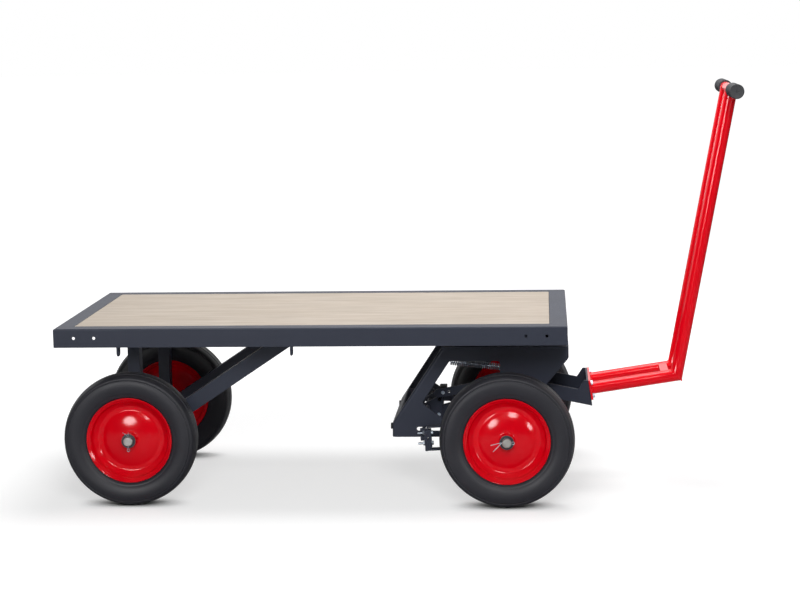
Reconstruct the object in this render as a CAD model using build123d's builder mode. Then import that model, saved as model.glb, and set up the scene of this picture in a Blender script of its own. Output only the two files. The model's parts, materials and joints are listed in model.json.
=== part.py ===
from build123d import *

import math
import os

# Turntable truck in millimetres: floor at z = 0, +Z up, +X towards the drawbar, +Y to its left.
# The origin is on the floor under the middle of the whole truck, drawbar included.

# Deck: rails of folded sheet, board, cross members, lashing eyes
deck_length = 1350.0
deck_width = 700.0
deck_top = 482.0
rail_height = 50.0
rail_lip = 47.0
rail_wall = 3.0
rail_bend = 4.0
ledge_width = 25.0
board_thickness = 15.0
board_gap = 0.5
rail_hole_radius = 4.0
rail_hole_from_end = 54.0
rail_hole_pitch = 54.0
member_width = 60.0
member_wall = 3.0
eye_rod_radius = 3.0
eye_width = 22.0
eye_drop = 26.0
eye_overlap = 14.0
eye_flare = 10.0
eye_bend = 8.0
eye_from_rear = 169.0
eye_pitch = 459.0

# Axles and wheels
rear_axle_setback = 187.0
front_axle_setback = 160.0
rear_wheel_clearance = 18.0
front_wheel_clearance = 94.0
axle_radius = 12.5
axle_end = 9.0
tyre_radius = 178.0
tyre_width = 90.0
tyre_crown = 10.0
tyre_shoulder_width = 74.0
rim_radius = 114.0
rim_width = 66.0
rim_sheet = 2.5
rim_flange_depth = 6.0
rim_seat_radius = 101.0
rim_seat_taper = 3.0
rim_well_half = 13.2
rim_ring_radius = 90.0
dome_radius = 74.0
dome_height = 15.0
dome_fullness = 0.7
hub_radius = 20.0
hub_wall = 3.0
hub_length = 76.0
bearing_length = 20.0
collar_radius = 19.0
washer_thickness = 3.0
pin_radius = 1.6
pin_from_washer = 3.5
pin_reach = 20.0
running_clearance = 0.05
seat_gap = 0.3

# Rear beam, posts and braces
frame_half_span = 210.0
post_length = 32.0
post_width = 40.0
tube_wall = 3.0
beam_size = 40.0
beam_plug = 12.0
brace_depth = 40.0
brace_reach = 417.0
brace_foot_drop = 9.0

# Turntable
plate_thickness = 8.0
plate_length = 310.0
plate_width = 340.0
plate_corner = 25.0
plate_hole_radius = 90.0
race_height = 22.0
race_flange = 4.0
race_flange_width = 15.0
race_wall = 5.7
race_lip = 4.0
race_step = 1.0
ball_circle_radius = 125.0
ball_radius = 6.0
ball_count = 12
ring_bolt_radius = 4.0
ring_bolt_head_radius = 6.5
ring_bolt_head = 5.0
ring_bolt_count = 6
bolt_clearance = 0.2

# Bogie bracket, placed from the front axle
bogie_half_width = 185.0
bogie_sheet = 5.0
bogie_top_sheet = 6.0
bogie_bend = 8.0
bogie_rear_top = 178.0
bogie_rear_foot = 312.0
bogie_front = 164.0
bogie_foot_height = 37.0
bogie_flange = 16.0
rear_opening_rise = 30.0
bogie_floor_drop = 22.0
bogie_front_drop = 26.0
bogie_nose_angle = 50.0
bogie_cheek = 60.0
tab_length = 23.0
tab_rear = 60.0
tab_front = 42.0
window_strip = 37.0
window_top_bar = 33.0
window_front = 20.0
window_shoulder = 72.0
window_floor_rise = 17.0
window_floor_front = 60.0
window_floor_rear = 160.0
window_tip_rise = 70.0
window_corner = 8.0
guide_slot_rear = 246.0
guide_slot_length = 76.0
guide_slot_height = 11.0
foot_bolt_rise = 4.0
foot_bolt_inset = 26.0
foot_bolt_head_radius = 9.0
foot_bolt_head = 6.0

# Drawbar pivot, fork and tail, placed from the pivot
pivot_forward = 10.0
pivot_rise = 110.0
pivot_radius = 10.0
pivot_collar_radius = 14.0
pivot_tube_radius = 16.5
pivot_shaft_end = 8.0
fork_half_width = 100.0
fork_slope = 12.0
fork_depth = 38.0
fork_sheet = 5.0
fork_web_start = 60.0
fork_ear_back = 16.0
fork_hole_length = 60.0
fork_hole_width = 26.0
fork_hole_from_flange = 22.0
flange_forward = 212.0
flange_drop = 21.4
flange_width = 210.0
flange_height = 54.0
flange_thickness = 6.0
flange_bolt_spread = 89.0
flange_bolt_rise = 18.0
flange_bolt_radius = 4.0
flange_bolt_head_radius = 6.5
flange_bolt_head = 5.5
tail_length = 203.0
tail_drop = 36.0
tail_offset = 60.0
tail_sheet = 6.0
tail_depth = 24.0
tail_eye_radius = 24.0
tail_bolt_from_end = 13.0
tail_hole_from_end = 30.0
tail_bolt_radius = 4.0
tail_bolt_head_radius = 6.5
tail_bolt_head = 5.0
buffer_width = 20.0
buffer_drop = 10.0
buffer_rise = 16.0
buffer_length = 45.0
buffer_hole = 15.0

# Drawbar tubes and handle
drawbar_rise = 8.7
drawbar_lean = 10.5
lower_length = 239.0
upper_length = 786.0
drawbar_tube_radius = 16.85
drawbar_tube_wall = 2.6
drawbar_tube_spacing = 140.0
tie_bar_width = 22.0
tie_bar_thickness = 5.0
tie_bar_from_bend = 30.0
tie_bar_rise = 12.0
handle_span = 460.0
handle_radius = 14.0
handle_wall = 2.5
grip_radius = 19.5
grip_from_tube = 23.15
grip_cap = 6.0
grip_round = 4.0

# Return spring and its two lugs
spring_radius = 8.5
spring_wire_radius = 1.5
spring_turns = 24
spring_run_out = 8.0
lug_half_thickness = 4.0
lug_half_height = 9.0
lug_back = 23.0
lug_up = 25.0
anchor_back = 184.0
anchor_up = 43.0
anchor_lug_depth = 14.0
anchor_lug_foot = 24.0

# Band brake on the front hubs
drum_radius = 28.5
drum_width = 30.0
drum_inset = 74.0
band_clearance = 0.5
band_thickness = 4.0
band_width = 26.0
band_tilt = 2.9
band_end_gap = 6.0
clamp_from_axle = 203.0
clamp_plate = 7.0
clamp_top = 23.5
clamp_front_bottom = 28.0
clamp_rear_bottom = 33.5
clamp_bolt_radius = 4.0
clamp_bolt_spacing = 28.0
clamp_bolt_head_radius = 6.5
clamp_bolt_head = 5.0
clamp_bolt_tail = 20.0
end_plate_length = 12.0
end_plate_height = 34.0
end_plate_rise = 3.0
brake_bar_radius = 5.0
lever_pin_back = 223.0
lever_pin_rise = 36.0
lever_pin_radius = 6.0
lever_half_span = 50.0
lever_sheet = 5.0
lever_boss_radius = 12.0
lever_horn_radius = 8.0
roller_radius = 5.0
lever_bolt_back = 193.0
lever_bolt_rise = 13.0
lever_bolt_radius = 4.0
lever_bolt_head_radius = 7.0
lever_bolt_head = 5.0
lever_bolt_eye = 8.5
yoke_half_span = 16.0
yoke_sheet = 5.0
yoke_eye_radius = 16.0
yoke_end_radius = 17.0
yoke_end_back = 159.0
yoke_end_rise = 18.0
yoke_slot_clearance = 0.6
yoke_slot_travel = 5.0
hanger_half_span = 150.0
hanger_sheet = 6.0
lever_collar_radius = 9.0
lever_collar = 5.0

# Places worked out from the sizes above
rise = math.radians(drawbar_rise)
lean = math.radians(drawbar_lean)
handle_reach = flange_forward + lower_length * math.cos(rise) + upper_length * math.sin(lean)
reach_front = pivot_forward + handle_reach + grip_radius
reach_rear = deck_length - front_axle_setback
front_axle_x = (reach_rear - reach_front) / 2
deck_front_x = front_axle_x + front_axle_setback
deck_rear_x = deck_front_x - deck_length
deck_mid_x = deck_front_x - deck_length / 2
rear_axle_x = deck_rear_x + rear_axle_setback
axle_z = tyre_radius
half_deck = deck_width / 2
rail_bottom = deck_top - rail_height
ledge_top = deck_top - board_thickness
turntable_z = rail_bottom - plate_thickness
bogie_top = turntable_z - race_height
bracket_top = bogie_top - bogie_top_sheet
pivot_x = front_axle_x + pivot_forward
pivot_z = axle_z + pivot_rise
rear_track = 2 * (frame_half_span + post_width / 2 + rear_wheel_clearance) + tyre_width
front_track = 2 * (bogie_half_width + front_wheel_clearance) + tyre_width
rear_hub_in = (rear_track - hub_length) / 2
front_hub_in = front_track / 2 - drum_inset - drum_width / 2

os.makedirs("parts", exist_ok=True)


def write(name, part):
    """Labels a finished piece and saves it under its own name."""
    part.label = name
    export_step(part, f"parts/{name}.step")


def along_truck(x=0.0, y=0.0, z=0.0):
    """Upright plane along the truck, local x forward and local y up, facing -Y."""
    return Plane(origin=(x, y, z), x_dir=(1, 0, 0), z_dir=(0, -1, 0))


# Side and end rails of one folded section: face, lip, step down to the board and ledge
def folded_rail(middle, inward, run, holes):
    along = inward.cross(Vector(0, 0, 1))
    step = rail_lip - rail_wall
    ledge_end = rail_lip + ledge_width
    with BuildPart() as rail:
        with BuildSketch(Plane(origin=middle, x_dir=inward, z_dir=along)):
            with BuildLine():
                CenterArc((rail_bend, -rail_bend), rail_bend, 90, 90)
                Polyline(
                    (rail_bend, 0),
                    (rail_lip, 0),
                    (rail_lip, -board_thickness),
                    (ledge_end, -board_thickness),
                    (ledge_end, -board_thickness - rail_wall),
                    (step, -board_thickness - rail_wall),
                    (step, -rail_wall),
                    (rail_wall, -rail_wall),
                    (rail_wall, -rail_height),
                    (0, -rail_height),
                    (0, -rail_bend),
                )
            make_face()
        extrude(amount=run / 2, both=True)
        with BuildSketch(Plane(origin=middle, x_dir=inward, z_dir=(0, 0, 1))):
            with BuildLine():
                Polyline(
                    (0, -run / 2),
                    (0, run / 2),
                    (ledge_end, run / 2 - ledge_end),
                    (ledge_end, ledge_end - run / 2),
                    close=True,
                )
            make_face()
        extrude(amount=-rail_height, mode=Mode.INTERSECT)
        if holes:
            with BuildSketch(Plane(origin=middle, x_dir=along, z_dir=inward)):
                with Locations(*[(place, rail_height / 2) for place in holes]):
                    Circle(rail_hole_radius)
            extrude(amount=rail_wall, mode=Mode.SUBTRACT)
    return rail.part


outer_hole = deck_length / 2 - rail_hole_from_end
inner_hole = outer_hole - rail_hole_pitch
side_holes = [-outer_hole, -inner_hole, inner_hole, outer_hole]
for name, side in (("side_rail_right", -1), ("side_rail_left", 1)):
    middle = (deck_mid_x, side * half_deck, deck_top)
    write(name, folded_rail(middle, Vector(0, -side, 0), deck_length, side_holes))
end_rails = [
    folded_rail((end_x, 0, deck_top), inward, deck_width, [])
    for end_x, inward in ((deck_rear_x, Vector(1, 0, 0)), (deck_front_x, Vector(-1, 0, 0)))
]
write("end_rails", Compound(children=end_rails))

# Board dropped into the rails, its top level with the lips
board_inset = 2 * (rail_lip + board_gap)
with BuildPart() as deck_board:
    with BuildSketch(Plane.XY.offset(ledge_top)):
        with Locations((deck_mid_x, 0)):
            Rectangle(deck_length - board_inset, deck_width - board_inset)
    extrude(amount=board_thickness)
write("deck_board", deck_board.part)

# Cross members under the board: over the rear posts, over the braces and over the turntable
brace_top_x = rear_axle_x + brace_reach
member_shift = (plate_length - member_width) / 2
member_places = [rear_axle_x, brace_top_x, front_axle_x - member_shift, front_axle_x + member_shift]
member_height = ledge_top - rail_bottom
member_reach = half_deck - rail_lip + rail_wall
ledge_inset = 2 * (rail_lip + ledge_width)
with BuildPart() as cross_members:
    with BuildSketch(along_truck(z=rail_bottom)):
        with Locations(*[(x, member_height / 2) for x in member_places]):
            Rectangle(member_width, member_height)
            Rectangle(
                member_width - 2 * member_wall,
                member_height - 2 * member_wall,
                mode=Mode.SUBTRACT,
            )
    extrude(amount=member_reach, both=True)
    with BuildSketch(Plane.XY.offset(ledge_top)):
        with Locations((deck_mid_x, 0)):
            Rectangle(deck_length, deck_width)
            Rectangle(deck_length - ledge_inset, deck_width - ledge_inset, mode=Mode.SUBTRACT)
    extrude(amount=-rail_wall, mode=Mode.SUBTRACT)
write("cross_members", cross_members.part)

# Lashing eyes of bent rod across the truck, welded to the side rails' faces and under their lips
eye_top = rail_bottom + eye_overlap
eye_bottom = rail_bottom - eye_drop + eye_rod_radius
eye_outer = rail_wall + eye_rod_radius
eye_inner = eye_outer + eye_width
with BuildPart() as lashing_eyes:
    for side in (-1, 1):
        for eye_x in (deck_rear_x + eye_from_rear, deck_rear_x + eye_from_rear + eye_pitch):
            eye_face = (eye_x, side * half_deck, 0)
            with BuildLine(Plane(origin=eye_face, x_dir=(0, -side, 0), z_dir=(-side, 0, 0))) as rod:
                FilletPolyline(
                    (eye_outer, eye_top),
                    (eye_outer, eye_bottom),
                    (eye_inner, eye_bottom),
                    (eye_inner, rail_bottom),
                    (eye_inner + eye_flare, rail_bottom + eye_flare),
                    (eye_inner + eye_flare, deck_top - rail_wall),
                    radius=eye_bend,
                )
            with BuildSketch(Plane(origin=rod.line @ 0, z_dir=rod.line % 0)):
                Circle(eye_rod_radius)
            sweep(path=rod.line)
write("lashing_eyes", lashing_eyes.part)

# Rear axle beam, a square tube with plugged ends that hold the axle
beam_half = frame_half_span + post_width / 2
beam_bore = beam_size - 2 * tube_wall
with BuildPart() as rear_axle_beam:
    with BuildSketch(along_truck(rear_axle_x, 0, axle_z)):
        Rectangle(beam_size, beam_size)
        Circle(axle_radius, mode=Mode.SUBTRACT)
    extrude(amount=beam_half, both=True)
    with BuildSketch(along_truck(rear_axle_x, 0, axle_z)):
        Rectangle(beam_bore, beam_bore)
    extrude(amount=beam_half - beam_plug, both=True, mode=Mode.SUBTRACT)
write("rear_axle_beam", rear_axle_beam.part)

# Rear posts from the beam to the cross member
beam_top = axle_z + beam_size / 2
with BuildPart() as rear_posts:
    with BuildSketch(Plane.XY.offset(beam_top)):
        with Locations((rear_axle_x, -frame_half_span), (rear_axle_x, frame_half_span)):
            Rectangle(post_length, post_width)
            Rectangle(post_length - 2 * tube_wall, post_width - 2 * tube_wall, mode=Mode.SUBTRACT)
    extrude(amount=rail_bottom - beam_top)
write("rear_posts", rear_posts.part)

# Diagonal braces, cut level under the cross member and plumb against the beam
brace_foot = Vector(rear_axle_x + beam_size / 2, 0, axle_z - brace_foot_drop)
brace_run = Vector(brace_top_x, 0, rail_bottom) - brace_foot
brace_plane = Plane(origin=brace_foot, x_dir=(0, 1, 0), z_dir=brace_run)
beam_bottom = axle_z - beam_size / 2
with BuildPart() as rear_braces:
    with BuildSketch(brace_plane):
        with Locations((-frame_half_span, 0), (frame_half_span, 0)):
            Rectangle(post_width, brace_depth)
            Rectangle(post_width - 2 * tube_wall, brace_depth - 2 * tube_wall, mode=Mode.SUBTRACT)
    extrude(amount=2 * brace_run.length, both=True)
    with BuildSketch(along_truck(brace_foot.X, 0, beam_bottom)):
        Rectangle(2 * brace_reach, rail_bottom - beam_bottom, align=(Align.MIN, Align.MIN))
    extrude(amount=half_deck, both=True, mode=Mode.INTERSECT)
write("rear_braces", rear_braces.part)

# Turntable plate under the front cross members
inner_track = ball_circle_radius - ball_radius - seat_gap
outer_track = ball_circle_radius + ball_radius + seat_gap
upper_bolt_circle = inner_track - race_wall - race_flange_width / 2
lower_bolt_circle = outer_track + race_wall + race_flange_width / 2
ring_hole_radius = ring_bolt_radius + bolt_clearance
kingpin = Location((front_axle_x, 0))
with BuildPart() as turntable_plate:
    with BuildSketch(Plane.XY.offset(turntable_z)):
        with Locations(kingpin):
            RectangleRounded(plate_length, plate_width, plate_corner)
            Circle(plate_hole_radius, mode=Mode.SUBTRACT)
            with PolarLocations(upper_bolt_circle, ring_bolt_count):
                Circle(ring_hole_radius, mode=Mode.SUBTRACT)
    extrude(amount=plate_thickness)
write("turntable_plate", turntable_plate.part)

# Ball races: the upper one hangs from the turntable plate inside the lower one
race_mid_z = bogie_top + race_height / 2
ball_floor = race_mid_z - ball_radius - seat_gap
ball_ceiling = race_mid_z + ball_radius + seat_gap
kingpin_axis = Axis((front_axle_x, 0, 0), (0, 0, 1))
with BuildPart() as turntable_upper_race:
    with BuildSketch(along_truck(front_axle_x)):
        with BuildLine():
            Polyline(
                (inner_track - race_wall - race_flange_width, turntable_z),
                (inner_track - race_wall - race_flange_width, turntable_z - race_flange),
                (inner_track - race_wall, turntable_z - race_flange),
                (inner_track - race_wall, ball_floor + race_step),
                (inner_track, ball_floor + race_step),
                (inner_track, ball_ceiling),
                (ball_circle_radius + race_lip, ball_ceiling),
                (ball_circle_radius + race_lip, turntable_z),
                close=True,
            )
        make_face()
    revolve(axis=kingpin_axis)
    with BuildSketch(Plane.XY.offset(turntable_z)):
        with Locations(kingpin):
            with PolarLocations(upper_bolt_circle, ring_bolt_count):
                Circle(ring_hole_radius)
    extrude(amount=-race_flange, mode=Mode.SUBTRACT)
write("turntable_upper_race", turntable_upper_race.part)

with BuildPart() as turntable_lower_race:
    with BuildSketch(along_truck(front_axle_x)):
        with BuildLine():
            Polyline(
                (ball_circle_radius - race_lip, bogie_top),
                (outer_track + race_wall + race_flange_width, bogie_top),
                (outer_track + race_wall + race_flange_width, bogie_top + race_flange),
                (outer_track + race_wall, bogie_top + race_flange),
                (outer_track + race_wall, ball_ceiling - race_step),
                (outer_track, ball_ceiling - race_step),
                (outer_track, ball_floor),
                (ball_circle_radius - race_lip, ball_floor),
                close=True,
            )
        make_face()
    revolve(axis=kingpin_axis)
    with BuildSketch(Plane.XY.offset(bogie_top)):
        with Locations(kingpin):
            with PolarLocations(lower_bolt_circle, ring_bolt_count):
                Circle(ring_hole_radius)
    extrude(amount=race_flange, mode=Mode.SUBTRACT)
write("turntable_lower_race", turntable_lower_race.part)

with BuildPart() as turntable_balls:
    with Locations((front_axle_x, 0, race_mid_z)):
        with PolarLocations(ball_circle_radius, ball_count):
            Sphere(ball_radius)
write("turntable_balls", turntable_balls.part)


# Race bolts: hexagon heads on a race's flange, shanks through the plate behind it
def race_bolts(head_plane, circle, shank):
    with BuildPart() as bolts:
        with BuildSketch(head_plane):
            with PolarLocations(circle, ring_bolt_count):
                RegularPolygon(ring_bolt_head_radius, 6)
        extrude(amount=ring_bolt_head)
        with BuildSketch(head_plane):
            with PolarLocations(circle, ring_bolt_count):
                Circle(ring_bolt_radius)
        extrude(amount=-shank)
    return bolts.part


upper_heads = Plane(origin=(front_axle_x, 0, turntable_z - race_flange), z_dir=(0, 0, -1))
lower_heads = Plane(origin=(front_axle_x, 0, bogie_top + race_flange), z_dir=(0, 0, 1))
upper_shank = race_flange + plate_thickness
lower_shank = race_flange + bogie_top_sheet
write("upper_race_bolts", race_bolts(upper_heads, upper_bolt_circle, upper_shank))
write("lower_race_bolts", race_bolts(lower_heads, lower_bolt_circle, lower_shank))

# Bogie bracket folded from one sheet: side plates, foot, front panel, slanting rear open above
rear_top = front_axle_x - bogie_rear_top
rear_foot = front_axle_x - bogie_rear_foot
front_end = front_axle_x + bogie_front
cheek_front = front_axle_x + bogie_cheek
bogie_floor = axle_z - bogie_floor_drop
foot_top = bogie_floor + bogie_foot_height
nose_z = bracket_top - bogie_front_drop
cheek_top = nose_z - (front_end - cheek_front) * math.tan(math.radians(bogie_nose_angle))
slant = math.atan2(bracket_top - foot_top, rear_top - rear_foot)


def slant_x(z, inset=0.0):
    """Where the slanting rear panel is at height z, a given depth in from its outer face."""
    return rear_foot + (z - foot_top) / math.tan(slant) + inset / math.sin(slant)


above_top = bracket_top + bogie_sheet
below_floor = bogie_floor - bogie_sheet
window_top = bracket_top - window_top_bar
window_floor = axle_z + window_floor_rise
window_tip = axle_z + window_tip_rise
slot_x = front_axle_x - guide_slot_rear + guide_slot_length / 2
rear_opening = foot_top + rear_opening_rise
opening_length = (bracket_top - rear_opening) / math.sin(slant) + 2 * bogie_bend
opening_plane = Plane(
    origin=(slant_x(rear_opening), 0, rear_opening),
    x_dir=(0, -1, 0),
    z_dir=(-math.sin(slant), 0, math.cos(slant)),
)
tab_places = [(front_axle_x - tab_rear, bracket_top), (front_axle_x + tab_front, bracket_top)]
with BuildPart() as bogie_bracket:
    with BuildSketch(along_truck()):
        with BuildLine():
            Polyline(
                (rear_foot, bogie_floor),
                (rear_foot, foot_top),
                (rear_top, bracket_top),
                (front_end, bracket_top),
                (front_end, nose_z),
                (cheek_front, cheek_top),
                (cheek_front, bogie_floor),
                close=True,
            )
        make_face()
    extrude(amount=bogie_half_width, both=True)
    lengthways = bogie_bracket.edges().filter_by(Plane.XZ)
    rear_folds = lengthways.filter_by(lambda edge: edge.center().X < rear_top - bogie_sheet)
    front_folds = lengthways.group_by(Axis.X)[-1]
    fillet(rear_folds + front_folds, bogie_bend)
    with BuildSketch(along_truck()):
        with BuildLine():
            Polyline(
                (rear_foot + bogie_sheet, below_floor),
                (rear_foot + bogie_sheet, foot_top),
                (slant_x(foot_top, bogie_sheet), foot_top),
                (slant_x(above_top, bogie_sheet), above_top),
                (front_end - bogie_sheet, above_top),
                (front_end - bogie_sheet, nose_z),
                (front_end + bogie_sheet, nose_z),
                (front_end + bogie_sheet, below_floor),
                close=True,
            )
        make_face()
    extrude(amount=bogie_half_width - bogie_sheet, both=True, mode=Mode.SUBTRACT)
    with BuildSketch(opening_plane):
        with Locations((0, opening_length / 2)):
            RectangleRounded(2 * (bogie_half_width - bogie_flange), opening_length, bogie_bend)
    extrude(amount=2 * bogie_sheet, both=True, mode=Mode.SUBTRACT)
    with BuildSketch(along_truck()) as openings:
        with BuildLine():
            Polyline(
                (slant_x(window_top, window_strip), window_top),
                (front_axle_x - window_front, window_top),
                (front_axle_x - window_front, axle_z + window_shoulder),
                (front_axle_x - window_floor_front, window_floor),
                (front_axle_x - window_floor_rear, window_floor),
                (slant_x(window_tip, window_strip), window_tip),
                close=True,
            )
        make_face()
        fillet(openings.vertices(), window_corner)
        with Locations((slot_x, axle_z)):
            SlotOverall(guide_slot_length, guide_slot_height)
        with Locations((front_axle_x, axle_z)):
            Circle(axle_radius)
        with Locations((pivot_x, pivot_z)):
            Circle(pivot_radius)
    extrude(amount=bogie_half_width, both=True, mode=Mode.SUBTRACT)
    for side in (-1, 1):
        with BuildSketch(along_truck(y=side * bogie_half_width)):
            with Locations(*tab_places):
                Rectangle(tab_length, bogie_top_sheet, align=(Align.CENTER, Align.MIN))
        extrude(amount=side * bogie_sheet)
write("bogie_bracket", bogie_bracket.part)

# Top plate on the bracket, slotted for the bracket's tabs
with BuildPart() as bogie_top_plate:
    with BuildSketch(Plane.XY.offset(bracket_top)):
        with Locations(((rear_top + front_end) / 2, 0)):
            RectangleRounded(front_end - rear_top, 2 * bogie_half_width, bogie_bend)
        with Locations(kingpin):
            Circle(plate_hole_radius, mode=Mode.SUBTRACT)
            with PolarLocations(lower_bolt_circle, ring_bolt_count):
                Circle(ring_hole_radius, mode=Mode.SUBTRACT)
        for tab_x, _ in tab_places:
            with Locations((tab_x, -bogie_half_width), (tab_x, bogie_half_width)):
                Rectangle(tab_length, 2 * bogie_sheet, mode=Mode.SUBTRACT)
    extrude(amount=bogie_top_sheet)
write("bogie_top_plate", bogie_top_plate.part)

# Black bolts in the foot of the bracket
foot_face = Plane(origin=(rear_foot, 0, axle_z + foot_bolt_rise), x_dir=(0, 1, 0), z_dir=(-1, 0, 0))
foot_bolt_y = bogie_half_width - foot_bolt_inset
with BuildPart() as foot_bolts:
    with BuildSketch(foot_face):
        with Locations((-foot_bolt_y, 0), (foot_bolt_y, 0)):
            RegularPolygon(foot_bolt_head_radius, 6)
    extrude(amount=foot_bolt_head)
write("foot_bolts", foot_bolts.part)


# An axle, its collars either side of each hub, and split pins with the eye towards eye_dir
def axle_set(name, axle_x, inner_seat, hub_in, hub_out, eye_dir):
    washer_in = hub_out + seat_gap
    washer_out = washer_in + washer_thickness
    pin_y = washer_out + pin_from_washer
    end_y = washer_out + axle_end
    collar_ends = [(inner_seat, hub_in - seat_gap), (washer_in, washer_out)]
    with BuildPart() as axle:
        with BuildSketch(along_truck(axle_x, 0, axle_z)):
            Circle(axle_radius)
        extrude(amount=end_y, both=True)
        chamfer(axle.edges(), pin_radius)
        for side in (-1, 1):
            with BuildSketch(Plane(origin=(axle_x, side * pin_y, axle_z), z_dir=eye_dir)):
                Circle(pin_radius)
            extrude(amount=pin_reach, both=True, mode=Mode.SUBTRACT)
    write(f"{name}_axle", axle.part)
    with BuildPart() as collars:
        for start, end in collar_ends:
            for side in (-1, 1):
                with BuildSketch(along_truck(axle_x, side * start, axle_z)):
                    Circle(collar_radius)
                    Circle(axle_radius, mode=Mode.SUBTRACT)
                extrude(amount=-side * (end - start))
    write(f"{name}_axle_collars", collars.part)
    with BuildPart() as pins:
        for side in (-1, 1):
            middle = Vector(axle_x, side * pin_y, axle_z)
            with BuildSketch(Plane(origin=middle, z_dir=eye_dir)):
                Circle(pin_radius)
            extrude(amount=pin_reach, both=True)
            eye_at = middle + eye_dir * (pin_reach + pin_radius)
            with Locations(Plane(origin=eye_at, x_dir=eye_dir * -1, z_dir=(0, 1, 0))):
                Torus(2 * pin_radius, pin_radius)
    write(f"{name}_split_pins", pins.part)


rear_hub_out = (rear_track + hub_length) / 2
front_hub_out = (front_track + hub_length) / 2
axle_set("rear", rear_axle_x, beam_half, rear_hub_in, rear_hub_out, Vector(0, 0, -1))
axle_set("front", front_axle_x, bogie_half_width, front_hub_in, front_hub_out, Vector(1, 0, 0))


# A wheel in local terms: first coordinate outwards along the axle, second outwards from it
def wheel(name, axle_x, mid_y, outward, hub_in, drum):
    section = Plane(origin=(axle_x, mid_y, axle_z), x_dir=(0, outward, 0), z_dir=(outward, 0, 0))
    spin_axis = Axis((axle_x, mid_y, axle_z), (0, 1, 0))
    flange_foot = rim_width / 2 - rim_flange_depth
    seat = rim_seat_radius + rim_sheet + rim_seat_taper
    bead_foot = flange_foot - rim_sheet - seat_gap
    bead_top = rim_width / 2 - rim_sheet - seat_gap
    shoulder = tyre_shoulder_width / 2
    belly_radius = (tyre_radius + rim_radius) / 2
    with BuildPart() as tyre:
        with BuildSketch(section):
            with BuildLine():
                Polyline(
                    (-bead_top, rim_radius),
                    (-bead_foot, seat),
                    (bead_foot, seat),
                    (bead_top, rim_radius),
                )
                ThreePointArc(
                    (bead_top, rim_radius),
                    (tyre_width / 2, belly_radius),
                    (shoulder, tyre_radius - tyre_crown),
                )
                ThreePointArc(
                    (shoulder, tyre_radius - tyre_crown),
                    (0, tyre_radius),
                    (-shoulder, tyre_radius - tyre_crown),
                )
                ThreePointArc(
                    (-shoulder, tyre_radius - tyre_crown),
                    (-tyre_width / 2, belly_radius),
                    (-bead_top, rim_radius),
                )
            make_face()
        revolve(axis=spin_axis)
    write(f"tyre_{name}", tyre.part)
    with BuildPart() as rim:
        for half in (-1, 1):
            with BuildSketch(section):
                with BuildLine():
                    dome_top = rim_sheet + dome_height
                    bulge = dome_fullness * dome_height
                    ThreePointArc(
                        (half * dome_top, hub_radius),
                        (half * (rim_sheet + bulge), (hub_radius + dome_radius) / 2),
                        (half * rim_sheet, dome_radius),
                    )
                    Polyline(
                        (half * rim_sheet, dome_radius),
                        (half * rim_sheet, rim_ring_radius),
                        (half * rim_well_half, rim_seat_radius),
                        (half * flange_foot, rim_seat_radius + rim_seat_taper),
                        (half * rim_width / 2, rim_radius),
                        (half * (rim_width / 2 - rim_sheet), rim_radius),
                        (half * (flange_foot - rim_sheet), seat),
                        (half * (rim_well_half - rim_sheet), rim_seat_radius + rim_sheet),
                        (0, rim_ring_radius + rim_sheet),
                        (0, dome_radius - rim_sheet),
                    )
                    ThreePointArc(
                        (0, dome_radius - rim_sheet),
                        (half * bulge, (hub_radius + dome_radius) / 2 - rim_sheet),
                        (half * (dome_top - rim_sheet), hub_radius),
                    )
                    Line((half * (dome_top - rim_sheet), hub_radius), (half * dome_top, hub_radius))
                make_face()
            revolve(axis=spin_axis)
    write(f"rim_{name}", rim.part)
    inner_end = hub_in - outward * mid_y
    bore = hub_radius - hub_wall
    with BuildPart() as hub:
        with BuildSketch(section):
            with BuildLine():
                Polyline(
                    (inner_end, bore),
                    (hub_length / 2, bore),
                    (hub_length / 2, hub_radius),
                    (inner_end, hub_radius),
                    close=True,
                )
            make_face()
            if drum:
                with Locations((inner_end, bore)):
                    Rectangle(drum_width, drum_radius - bore, align=(Align.MIN, Align.MIN))
        revolve(axis=spin_axis)
    write(f"hub_{name}", hub.part)
    with BuildPart() as bearings:
        with BuildSketch(section):
            with Locations((inner_end, axle_radius + running_clearance)):
                Rectangle(
                    bearing_length,
                    bore - axle_radius - running_clearance,
                    align=(Align.MIN, Align.MIN),
                )
            with Locations((hub_length / 2, axle_radius + running_clearance)):
                Rectangle(
                    bearing_length,
                    bore - axle_radius - running_clearance,
                    align=(Align.MAX, Align.MIN),
                )
        revolve(axis=spin_axis)
    write(f"bearings_{name}", bearings.part)


for side_name, side in (("right", -1), ("left", 1)):
    wheel(f"rear_{side_name}", rear_axle_x, side * rear_track / 2, side, rear_hub_in, False)
    wheel(f"front_{side_name}", front_axle_x, side * front_track / 2, side, front_hub_in, True)

# Shaft across the bogie with collars that keep the drawbar central
with BuildPart() as drawbar_shaft:
    with BuildSketch(along_truck(pivot_x, 0, pivot_z)):
        Circle(pivot_radius)
    extrude(amount=bogie_half_width + pivot_shaft_end, both=True)
    for side in (-1, 1):
        with BuildSketch(along_truck(pivot_x, side * (fork_half_width + seat_gap), pivot_z)):
            Circle(pivot_collar_radius)
        extrude(amount=-side * (bogie_half_width - bogie_sheet - fork_half_width - seat_gap))
write("drawbar_shaft", drawbar_shaft.part)

# Drawbar fork: two side plates, a web below and a front plate behind the flange
draw_dir = Vector(math.cos(rise), 0, math.sin(rise))
flange_middle = Vector(pivot_x + flange_forward, 0, pivot_z - flange_drop)
flange_face = Plane(origin=flange_middle, x_dir=(0, 1, 0), z_dir=draw_dir)
fork_tan = math.tan(math.radians(fork_slope))
half_depth = fork_depth / 2 / math.cos(math.radians(fork_slope))


def flange_x(z):
    """Back face of the flange at height z above the pivot, forward of the pivot."""
    return flange_forward - (z + flange_drop) * math.tan(rise)


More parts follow.
